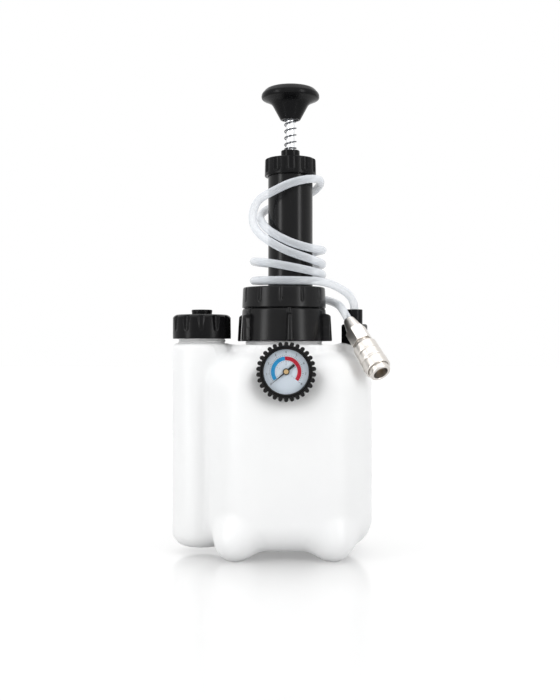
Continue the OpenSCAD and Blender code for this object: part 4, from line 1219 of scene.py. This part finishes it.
@dataclass
class Gauge:
    """Pressure gauge: toothed boot, bezel, and a printed dial."""

    boot_r: float = 24.6
    boot_l: float = 19.0
    boot_bore: float = 23.5
    boot_back: float = 3.0
    stem_bore: float = 5.1
    teeth: int = 30
    tooth_h: float = 3.3
    tooth_w: float = 4.0
    tooth_wall: float = 0.9
    tooth_end: float = 0.8
    end_share: float = 0.84
    flank_ease: float = 0.24
    tooth_shares: tuple[float, ...] = (0.0, 0.2, 0.4, 0.58, 0.74, 0.87, 0.95, 1.0, 1.06, 1.2)
    case_r: float = 22.4
    face_r: float = 20.8
    dial_z: float = 11.0
    dial_front: float = 11.5
    lens_top: float = 15.5
    ink: float = 0.04
    ink_sunk: float = 0.01
    zero: float = 220.0
    sweep: float = 259.0
    split: float = 95.0
    arc_in: float = 10.5
    arc_out: float = 14.2
    arc_steps: int = 49
    band_gap: float = 4.0
    outer_type: tuple[int, float, float] = (8, 18.2, 3.0)
    inner_type: tuple[int, float, float] = (4, 6.9, 2.0)

    def boot_shape(self, theta: np.ndarray, r: np.ndarray, z: np.ndarray) -> np.ndarray:
        """Radius of the boot: its wall, or a tooth with a round tip where the angle lies within its width.

        Args:
            theta: Angle.
            r: Radius of the wall.
            z: Distance from the back.

        Returns:
            Radius with teeth.
        """
        half = self.tooth_w / 2
        off = np.abs(off_nearest(theta, self.teeth, 180.0 / self.teeth)) * (self.boot_r + half)
        tip = self.tooth_h - half + np.sqrt(np.maximum(half ** 2 - off ** 2, 0.0))
        flank = np.clip((half + self.flank_ease / 2 - off) / self.flank_ease, 0.0, 1.0)
        ends = np.clip(np.minimum(z, self.boot_l - z) / self.tooth_end, 0.0, 1.0)
        lift = tip * flank * (self.end_share + (1 - self.end_share) * np.sqrt(ends * (2 - ends)))
        return np.where(r > self.boot_r - self.tooth_wall, r + lift, r)

    def build_boot(self) -> None:
        """Makes the rubber boot, with angles gathered at the flanks of its teeth."""
        corners = [(self.stem_bore, 0.0, 0.0), (self.boot_r, 0.0, 0.5), (self.boot_r, self.boot_l, 0.5),
                   (self.boot_bore, self.boot_l, 0.2), (self.boot_bore, self.boot_back, 0.2),
                   (self.stem_bore, self.boot_back, 0.0)]
        half = math.degrees(self.tooth_w / 2 / (self.boot_r + self.tooth_w / 2))
        share = np.array(self.tooth_shares)
        offsets = half * np.concatenate([-share[::-1], share[1:]])
        pitch = 360.0 / self.teeth
        theta = (np.arange(self.teeth)[:, None] * pitch + pitch / 2 + offsets[None, :]).ravel()
        maker = MeshMaker("boot_rubber").lathe(corners, spacing=3.0, theta=np.radians(theta),
                                               shape=self.boot_shape)
        maker.finish(GAUGE, Body.FIXED, BLACK_RUBBER, replaces=["gauge_boot"])

    def build_bezel(self) -> None:
        """Makes the bezel ring that holds the lens."""
        top = self.lens_top + 1.5
        inner = self.case_r + 0.1
        outer = self.case_r + 1.0
        corners = [(inner, self.dial_z, 0.0), (outer, self.dial_z, 0.2), (outer, top, 0.7),
                   (self.face_r + 0.9, top, 0.5), (self.face_r, self.lens_top, 0.2),
                   (inner, self.lens_top, 0.0)]
        maker = MeshMaker("bezel_ring").lathe(corners, spacing=0.8, theta=angles(160))
        maker.finish(GAUGE, Body.FIXED, BLACK_RUBBER, replaces=["gauge_bezel"])

    def inked(self, flat: np.ndarray) -> np.ndarray:
        """Thin blocks on the dial, from just under its face to the height of the ink.

        Args:
            flat: Array of n by 4 by 2, counter-clockwise.

        Returns:
            Array of n by 8 by 3.
        """
        levels = (self.dial_front - self.ink_sunk, self.dial_front + self.ink)
        rings = [np.concatenate([flat, np.full((len(flat), 4, 1), z)], axis=-1) for z in levels]
        return np.concatenate(rings, axis=1)

    def arc(self, name: str, start: float, end: float, finish: Finish) -> None:
        """Prints a coloured band: a thin block bent along an arc of the dial.

        Args:
            name: Name of the piece.
            start: First angle in degrees, from the right, turning left.
            end: Last angle.
            finish: Ink.
        """
        a = np.radians(np.linspace(start, end, self.arc_steps))
        ways = np.stack([np.cos(a), np.sin(a)], axis=-1)
        here, there = ways[:-1], ways[1:]
        flat = [here * self.arc_in, here * self.arc_out, there * self.arc_out, there * self.arc_in]
        maker = MeshMaker(name)
        maker.blocks(self.inked(np.stack(flat, axis=1)))
        maker.finish(GAUGE, Body.FIXED, finish)

    def ticks(self) -> None:
        """Prints the scale: thin radial blocks, every fifth one longer, outside and inside the bands."""
        maker = MeshMaker("dial_ticks")
        for count, inner, short, long, width in ((40, 14.7, 1.0, 1.8, 0.34), (20, 9.9, -0.8, -1.3, 0.3)):
            step = np.arange(count + 1)
            a = np.radians(self.zero - self.sweep * step / count)[:, None]
            length = np.where(step % 5 == 0, long, short)[:, None]
            near = np.minimum(inner, inner + length)
            far = np.maximum(inner, inner + length)
            r = np.concatenate([near, far, far, near], axis=1)
            side = np.array([[-0.5, -0.5, 0.5, 0.5]]) * width
            flat = [r * np.cos(a) - side * np.sin(a), r * np.sin(a) + side * np.cos(a)]
            maker.blocks(self.inked(np.stack(flat, axis=-1)))
        maker.finish(GAUGE, Body.FIXED, BLACK_INK)

    def numerals(self, name: str, count: int, radius: float, height: float) -> None:
        """Prints upright numbers round the scale, as meshes of a plain typeface.

        Args:
            name: Name of the piece.
            count: Last number.
            radius: Distance of the numbers from the axis.
            height: Size of the type.
        """
        made = []
        for number in range(count + 1):
            a = math.radians(self.zero - self.sweep * number / count)
            text = bpy.data.curves.new(f"{name}_{number}", "FONT")
            text.body = str(number)
            text.size = height
            text.extrude = self.ink
            text.align_x = "CENTER"
            text.align_y = "CENTER"
            holder = bpy.data.objects.new(text.name, text)
            bpy.context.scene.collection.objects.link(holder)
            bpy.context.view_layer.update()
            shown = holder.evaluated_get(bpy.context.evaluated_depsgraph_get())
            flat = bpy.data.meshes.new_from_object(shown)
            points = np.zeros(len(flat.vertices) * 3)
            flat.vertices.foreach_get("co", points)
            spot = np.array([radius * math.cos(a), radius * math.sin(a), self.dial_front])
            flat.vertices.foreach_set("co", GAUGE.in_frame(points.reshape(-1, 3) + spot).ravel())
            bpy.data.objects.remove(holder)
            piece = bpy.data.objects.new(f"{name}_{number}", flat)
            bpy.context.scene.collection.objects.link(piece)
            made.append(piece)
        with bpy.context.temp_override(active_object=made[0], selected_editable_objects=made):
            bpy.ops.object.join()
        made[0].name = name
        dress(made[0], BLACK_INK)
        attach(made[0], Body.FIXED.value)
        log.info("%s: numbers to %d", name, count)

    def build(self) -> None:
        """Makes the boot, the bezel and the print."""
        self.build_boot()
        self.build_bezel()
        self.arc("dial_band_low", self.split, self.zero - self.band_gap, BLUE_INK)
        self.arc("dial_band_high", self.zero - self.sweep, self.split, RED_INK)
        self.ticks()
        self.numerals("dial_numbers", *self.outer_type)
        self.numerals("dial_inner_numbers", *self.inner_type)


@dataclass
class Outlet:
    """Outlet fitting: a hexagon with a round hose socket on it."""

    low: float = 207.5
    hex_h: float = 19.0
    hex_r: float = 13.4
    hex_turn: float = 10.0
    bevel: float = 1.6
    socket_r: float = 8.1
    socket_top: float = SOCKET_TOP
    shank_r: float = 6.0
    shank_low: float = 185.6
    hose_bore: float = 4.2
    plug: float = HOSE_PLUG
    flow_r: float = 2.5
    fillet: float = 0.5

    def shape(self, theta: np.ndarray, r: np.ndarray, z: np.ndarray) -> np.ndarray:
        """Radius of the fitting, with six flats where it is wider than the socket."""
        flat = hexagon(theta, self.hex_r, self.hex_turn)
        return np.where(r > self.socket_r + self.fillet, soft_min(r, flat, self.fillet), r)

    def build(self) -> None:
        """Makes the fitting from one outline."""
        top = self.low + self.hex_h
        floor = self.socket_top - self.plug
        corners = [(self.flow_r, self.shank_low, 0), (self.shank_r, self.shank_low, 0.4),
                   (self.shank_r, self.low, 0.0), (self.hex_r, self.low, 0.6),
                   (self.hex_r, top - self.bevel, 0.4), (self.hex_r - self.bevel, top, 0.6),
                   (self.socket_r, top, 0.5),
                   (self.socket_r, self.socket_top, 0.7), (self.hose_bore, self.socket_top, 0.4),
                   (self.hose_bore, floor, 0.0), (self.flow_r, floor, 0.0)]
        maker = MeshMaker("outlet_body").lathe(corners, spacing=1.2, theta=angles(240), shape=self.shape)
        maker.finish(OUTLET, Body.FIXED, BLACK_GLOSS, sharp=30.0, replaces=["outlet_fitting"])


@dataclass
class Coupler:
    """Quick coupler: tail with a hexagon, body with the plug's socket, and the sliding sleeve."""

    tail_l: float = 33.0
    body_l: float = 38.5
    cone_l: float = 15.0
    cone_r: float = 8.6
    hose_r: float = 4.0
    hose_bore: float = 2.5
    plug: float = HOSE_PLUG
    hex_r: float = 10.8
    hex_end: float = 31.5
    hex_fillet: float = 0.4
    neck_r: float = 7.6
    body_r: float = 8.7
    nose_r: float = 10.2
    nose_l: float = 7.5
    socket_r: float = 7.2
    socket_lip: float = 10.3
    socket_l: float = 18.0
    seal_l: float = 6.0
    sleeve_l: float = 31.0
    sleeve_r: float = 12.5
    sleeve_lap: float = 2.0
    sleeve_mouth: float = 4.2
    land_l: float = 11.0
    spring_room: float = 9.6
    flange_z: float = 45.0
    flange_t: float = 2.0
    slide_gap: float = 0.05
    seat_gap: float = 0.1
    sleeve_wire: float = 0.5
    sleeve_turns: int = 4
    sleeve_travel: float = 3.0
    sleeve_spring_l: float = 9.8
    valve_wire: float = 0.6
    valve_turns: int = 5
    valve_r: float = 5.6
    valve_room_z: float = 37.0
    valve_spring_l: float = 9.8
    valve_travel: float = 4.0
    crisp: float = 30.0

    def tail_shape(self, theta: np.ndarray, r: np.ndarray, z: np.ndarray) -> np.ndarray:
        """Radius of the tail, with six flats where its wall stands over the cone."""
        over = (z > self.cone_l - SLACK) & (z < self.hex_end + 0.1) & (r > self.cone_r + 0.1)
        return np.where(over, soft_min(r, hexagon(theta, self.hex_r), self.hex_fillet), r)

    def build_tail(self) -> None:
        """Makes the tail that the hose plugs into."""
        hole = self.hose_r + 0.2
        corners = [(self.hose_bore, self.plug, 0), (hole, self.plug, 0.0), (hole, 0.0, 0.2),
                   (self.hose_r + 1.6, 0.0, 0.5), (self.cone_r, self.cone_l, 0.0),
                   (self.hex_r - 0.6, self.cone_l, 0.2), (self.hex_r, self.cone_l + 1.0, 0.4),
                   (self.hex_r, self.hex_end - 1.0, 0.4), (self.hex_r - 0.6, self.hex_end, 0.2),
                   (self.neck_r, self.hex_end, 0.3), (self.neck_r, self.tail_l, 0.0),
                   (self.hose_bore, self.tail_l, 0.0)]
        maker = MeshMaker("coupler_tail_body").lathe(corners, spacing=1.0, theta=angles(180),
                                                     shape=self.tail_shape)
        maker.finish(COUPLER, Body.FIXED, SATIN_NICKEL, sharp=self.crisp, replaces=["coupler_tail"])

    def build_body(self) -> None:
        """Makes the body and its nose round the plug's socket."""
        mouth = self.tail_l + self.body_l
        nose = mouth - self.nose_l
        floor = mouth - self.socket_l
        lip = mouth - self.socket_lip
        flange_r = self.spring_room - self.slide_gap
        flange_low = self.flange_z - self.flange_t
        seal_r = self.socket_r + 0.6
        valve_r = self.socket_r - 0.8
        corners = [(valve_r, floor, 0), (self.hose_bore, floor, 0), (self.hose_bore, self.tail_l, 0.0),
                   (self.body_r, self.tail_l, 0.5), (self.body_r, flange_low, 0.0),
                   (flange_r, flange_low, 0.2), (flange_r, self.flange_z, 0.2),
                   (self.body_r, self.flange_z, 0.0), (self.body_r, nose, 0.0), (self.nose_r, nose, 0.9),
                   (self.nose_r, mouth, 1.1), (self.socket_r, mouth, 0.5), (self.socket_r, lip, 0.2),
                   (seal_r, lip, 0.0), (seal_r, lip - self.seal_l, 0.0), (valve_r, lip - self.seal_l, 0.0)]
        maker = MeshMaker("coupler_socket_body").lathe(corners, spacing=1.2, theta=angles(144))
        maker.finish(COUPLER, Body.FIXED, SATIN_NICKEL, sharp=self.crisp,
                     replaces=["coupler_body", "coupler_balls"])

    def build_sleeve(self) -> None:
        """Makes the sliding sleeve, with two narrow grooves between its bands."""
        base = self.tail_l + self.body_l - self.nose_l + self.sleeve_lap - self.sleeve_l
        lip = self.sleeve_l - self.sleeve_mouth
        land = self.sleeve_l - self.land_l
        slide_r = self.body_r + self.slide_gap
        mouth_r = self.nose_r + 0.3
        bands = ((0.86, 0.0, 0.3), (0.95, 1.55, 0.7), (0.95, 8.7, 0.6), (0.9, 9.6, 0.3), (0.9, 10.5, 0.3),
                 (0.97, 11.5, 0.6), (0.97, 18.6, 0.6), (0.91, 19.5, 0.3), (0.91, 20.5, 0.3),
                 (1.0, 21.7, 0.7), (1.0, self.sleeve_l, 1.4))
        inside = [(mouth_r, self.sleeve_l, 0.4), (mouth_r, lip, 0.0), (slide_r, lip, 0.0),
                  (slide_r, land, 0.0), (self.spring_room, land, 0.0)]
        outside = [(share * self.sleeve_r, up, ease) for share, up, ease in bands]
        steps = [(self.spring_room, 0.0, 0.2), *outside, *inside]
        corners = [(out, base + up, ease) for out, up, ease in steps]
        maker = MeshMaker("coupler_sleeve_body").lathe(corners, spacing=0.9, theta=angles(192))
        maker.finish(COUPLER, Body.SLEEVE, SATIN_NICKEL, sharp=self.crisp, replaces=["coupler_sleeve"])

    def build_springs(self) -> None:
        """Makes the springs behind the sleeve and the poppet valve."""
        reach = self.spring_room - self.sleeve_wire / 2 - self.seat_gap
        sleeve = Spring("sleeve_coil", self.flange_z + self.seat_gap, self.sleeve_spring_l, reach,
                        self.sleeve_wire, self.sleeve_turns)
        sleeve.build(COUPLER, "sleeve_spring", "sleeve_slide", self.sleeve_travel)
        valve = Spring("valve_coil", self.valve_room_z + self.seat_gap, self.valve_spring_l,
                       self.valve_r - self.valve_wire, self.valve_wire, self.valve_turns)
        valve.build(COUPLER, "valve_spring", "poppet_press", self.valve_travel)

    def build(self) -> None:
        """Makes the turned pieces and the springs that they press."""
        self.build_tail()
        self.build_body()
        self.build_sleeve()
        self.build_springs()


@dataclass
class Hose:
    """Supply hose: from the outlet, round the pump in two low turns, a bight and a high turn, and back."""

    diameter: float = 8.0
    sides: int = 18
    span_steps: int = 10
    plug: float = HOSE_PLUG
    outlet_x: float = OUTLET.origin[0]
    outlet_top: float = SOCKET_TOP
    turn_x: float = 4.0
    turn_r: float = 34.4
    turn_step: float = 36.0
    turn_start: float = -54.0
    turn_z: tuple[float, ...] = (
        268.4, 268.4, 268.8, 269.5, 270.4, 271.4, 272.4, 273.6, 275, 276.4, 278.4, 282, 286, 288.5, 289.5,
        289.2, 288, 286.7, 286.1, 286.8, 290, 296.5)
    leaving: tuple[Corner, ...] = (
        (69, -1, 249), (64, -4.6, 256.2), (55, -10.4, 262), (44.5, -16.4, 266.3), (33.8, -22.6, 268.2))
    climbing: tuple[Corner, ...] = (
        (-12.5, -29.5, 305.5), (-23.5, -19.5, 314.5), (-29, -14.5, 322.5), (-31, -13, 332),
        (-29, -14.5, 341.5), (-23.5, -19.5, 349), (-12.5, -28, 354.3), (5, -34, 361.8), (22, -29, 366.8),
        (34, -13, 369), (36, 6, 367), (29, 22, 362), (13, 32.5, 356), (-6, 30.5, 350), (-19, 18, 342.5),
        (-23.5, 1, 332.5), (-15, -21, 318.5), (4, -32, 306.6), (22, -28.5, 301), (35.5, -13, 300),
        (38.5, 2, 300.5), (35, 17, 301), (24, 30.5, 299), (14, 41.5, 292), (10, 45.5, 280.5),
        (14, 46, 268.5), (24, 44, 260.5), (35, 36, 255), (44, 23, 251.5), (50.5, 8.5, 248.5),
        (56.4, -7.5, 243.2))
    with_pieces: tuple[str, ...] = (
        "coupler_tail_body", "coupler_socket_body", "coupler_sleeve_body", "coupler_ring", "coupler_valve",
        "sleeve_coil", "valve_coil")

    def route(self) -> np.ndarray:
        """Points that the hose passes through: its ends, the low turns on a circle, and the rest as listed.

        Returns:
            Array of points by 3.
        """
        a = np.radians(self.turn_start - self.turn_step * np.arange(len(self.turn_z)))
        turns = [self.turn_x + self.turn_r * np.cos(a), self.turn_r * np.sin(a), np.array(self.turn_z)]
        start = [[self.outlet_x, 0, self.outlet_top - self.plug], [self.outlet_x, 0, self.outlet_top]]
        axis = COUPLER.rotation() @ np.array([0.0, 0.0, 1.0])
        end = np.array(COUPLER.origin) + np.array([[0.0], [self.plug]]) * axis
        return np.concatenate([start, self.leaving, np.stack(turns, axis=-1), self.climbing, end])

    def build(self) -> None:
        path = smooth_route(self.route(), self.span_steps)
        away = path - np.array(PUMP.origin)
        away[:, 2] = 0.0
        tube = swept_tube(path, away, self.diameter / 2, self.sides)
        maker = MeshMaker("supply_hose").grid(tube, capped=True)
        hose = maker.finish(NECK, Body.FIXED, MILKY_HOSE, sharp=70.0, replaces=["hose"])


@dataclass
class Studio:
    """Camera, pale floor, white surround and soft boxes, in metres."""

    eye: Corner = (0.0125, -0.993, 0.2058)
    lens: float = 51.43
    shift: tuple[float, float] = (-4.0 / 700.0, -5.0 / 700.0)
    floor_size: float = 16.0
    floor_grey: float = 0.55
    floor_roughness: float = 0.1
    floor_lift: float = 0.25
    front_level: float = 0.5
    room_edge: float = 0.35

    def camera(self) -> None:
        """Sets the camera level with the tank's shoulder, looking straight at the front."""
        data = bpy.data.cameras.new("studio_camera")
        data.sensor_width = 36.0
        data.lens = self.lens
        data.shift_x, data.shift_y = self.shift
        data.clip_start = 0.01
        camera = bpy.data.objects.new("studio_camera", data)
        camera.location = self.eye
        camera.rotation_euler = (QUARTER, 0.0, 0.0)
        bpy.context.scene.collection.objects.link(camera)
        bpy.context.scene.camera = camera

    @staticmethod
    def seen_rays(tree: bpy.types.NodeTree) -> bpy.types.NodeSocket:
        """Picks the rays that show the background, straight on, mirrored or through glass.

        Args:
            tree: Nodes of the floor's material or of the world.

        Returns:
            Socket that is 1 for camera, glossy and transmission rays, otherwise 0.
        """
        path = add_node(tree, "ShaderNodeLightPath")
        shown = path.outputs["Is Camera Ray"]
        for ray in ("Is Glossy Ray", "Is Transmission Ray"):
            either = add_node(tree, "ShaderNodeMath", operation="MAXIMUM")
            tree.links.new(shown, either.inputs[0])
            tree.links.new(path.outputs[ray], either.inputs[1])
            shown = either.outputs["Value"]
        return shown

    def floor(self) -> None:
        """Lays a glossy floor, a little brighter to the rays that show it, to run into the surround."""
        half = self.floor_size / 2
        corners = [(-half, -half, 0), (half, -half, 0), (half, half, 0), (-half, half, 0)]
        mesh = bpy.data.meshes.new("floor")
        mesh.from_pydata(corners, [], [(0, 1, 2, 3)])
        floor = bpy.data.objects.new("floor", mesh)
        bpy.context.scene.collection.objects.link(floor)
        material = bpy.data.materials.new("white_floor")
        material.use_nodes = True
        tree = material.node_tree
        shader = tree.nodes["Principled BSDF"]
        set_inputs(shader, {"Base Color": (self.floor_grey, self.floor_grey, self.floor_grey, 1.0),
                            "Roughness": self.floor_roughness, "Specular IOR Level": 1.0,
                            "Emission Color": (1.0, 1.0, 1.0, 1.0)})
        lift = add_node(tree, "ShaderNodeMath", {1: self.floor_lift}, operation="MULTIPLY")
        tree.links.new(self.seen_rays(tree), lift.inputs[0])
        wire(tree, (lift, "Value", shader, "Emission Strength"))
        mesh.materials.append(material)

    def world(self) -> None:
        """Gives a white surround to the rays that show it, and a dimmer front to those that light."""
        world = bpy.data.worlds.new("white_surround")
        bpy.context.scene.world = world
        world.use_nodes = True
        tree = world.node_tree
        tree.nodes.clear()
        where = add_node(tree, "ShaderNodeTexCoord")
        split = add_node(tree, "ShaderNodeSeparateXYZ")
        room = add_node(tree, "ShaderNodeMapRange", {"From Min": -self.room_edge, "From Max": self.room_edge,
                                                     "To Min": self.front_level, "To Max": 1.0})
        level = add_node(tree, "ShaderNodeMath", operation="MAXIMUM")
        back = add_node(tree, "ShaderNodeBackground", {"Color": (1.0, 1.0, 1.0, 1.0)})
        result = add_node(tree, "ShaderNodeOutputWorld")
        tree.links.new(self.seen_rays(tree), level.inputs[0])
        wire(tree, (where, "Generated", split, "Vector"), (split, "Y", room, "Value"),
             (room, "Result", level, 1), (level, "Value", back, "Strength"),
             (back, "Background", result, "Surface"))

    @staticmethod
    def soft_box(name: str, at: Corner, aim: Corner, size: tuple[float, float], power: float) -> None:
        """Hangs a rectangular soft box.

        Args:
            name: Its name.
            at: Where it hangs.
            aim: Point that it faces.
            size: Width and height.
            power: Watts.
        """
        data = bpy.data.lights.new(name, "AREA")
        data.shape = "RECTANGLE"
        data.size, data.size_y = size
        data.energy = power
        box = bpy.data.objects.new(name, data)
        box.location = at
        way = np.array(aim) - np.array(at)
        way = way / np.linalg.norm(way)
        box.rotation_euler = (math.acos(-way[2]), 0.0, math.atan2(way[1], way[0]) - QUARTER)
        bpy.context.scene.collection.objects.link(box)

    def lights(self) -> None:
        """Hangs a tall soft box at each side, a wide one overhead and a faint one above the camera."""
        self.soft_box("left_strip", (-1.14, -0.83, 0.5), (0.0, 0.0, 0.22), (0.35, 1.3), 9.2)
        self.soft_box("right_strip", (1.04, -0.94, 0.5), (0.0, 0.0, 0.22), (0.3, 1.3), 8.4)
        self.soft_box("overhead", (0.0, -0.1, 1.6), (0.0, 0.0, 0.2), (1.6, 1.4), 7.0)
        self.soft_box("front_fill", (0.0, -2.2, 1.5), (0.0, 0.0, 0.2), (1.8, 0.8), 4.0)

    def build(self) -> None:
        """Makes the whole studio."""
        bpy.context.scene.view_settings.view_transform = "Standard"
        self.camera()
        self.floor()
        self.world()
        self.lights()


KEPT_NODES: dict[str, Finish] = {
    "waste_liner": GREY_SEAL, "neck_gasket": GREY_SEAL, "pump_bonnet": BLACK_MOULDING,
    "barrel_seal": BLACK_RUBBER, "check_valve_seat": BLACK_MOULDING, "check_valve_disc": BLACK_RUBBER,
    "check_valve_screw": DARK_WIRE, "rod_bush": GREY_SEAL, "rod_seal": BLACK_RUBBER,
    "spring_washer": DARK_WIRE, "plunger_rod": BRIGHT_CHROME, "piston": BLACK_MOULDING,
    "piston_cup": BLACK_RUBBER, "piston_washer": DARK_WIRE, "piston_nut": DARK_WIRE, "gauge_case": DARK_WIRE,
    "gauge_lens": CLEAR_LENS, "gauge_dial": DIAL_ENAMEL, "gauge_movement": TURNED_BRASS,
    "bourdon_tube": TURNED_BRASS, "gauge_stem": TURNED_BRASS, "gauge_washer": GREY_SEAL,
    "gauge_nut": TURNED_BRASS, "gauge_needle": BLACK_RUBBER, "needle_hub": TURNED_BRASS,
    "outlet_washer": GREY_SEAL, "dip_tube": MILKY_HOSE, "dip_filter": BLACK_MOULDING,
    "coupler_valve": TURNED_BRASS, "coupler_ring": DARK_WIRE,
}


def main() -> None:
    """Loads the frame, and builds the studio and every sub-assembly."""
    logging.basicConfig(level=logging.INFO, format="%(name)s: %(message)s")
    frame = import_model()
    Studio().build()
    for part in (Coupler(), Hose(), Tank(), LidAndRing(), WasteCap(), Pump(), Gauge(), Outlet()):
        part.build()
    for node, finish in KEPT_NODES.items():
        dress(frame["nodes"][node], finish)
        log.info("%s dressed as %s", node, finish.name)


if __name__ == "__main__":
    main()
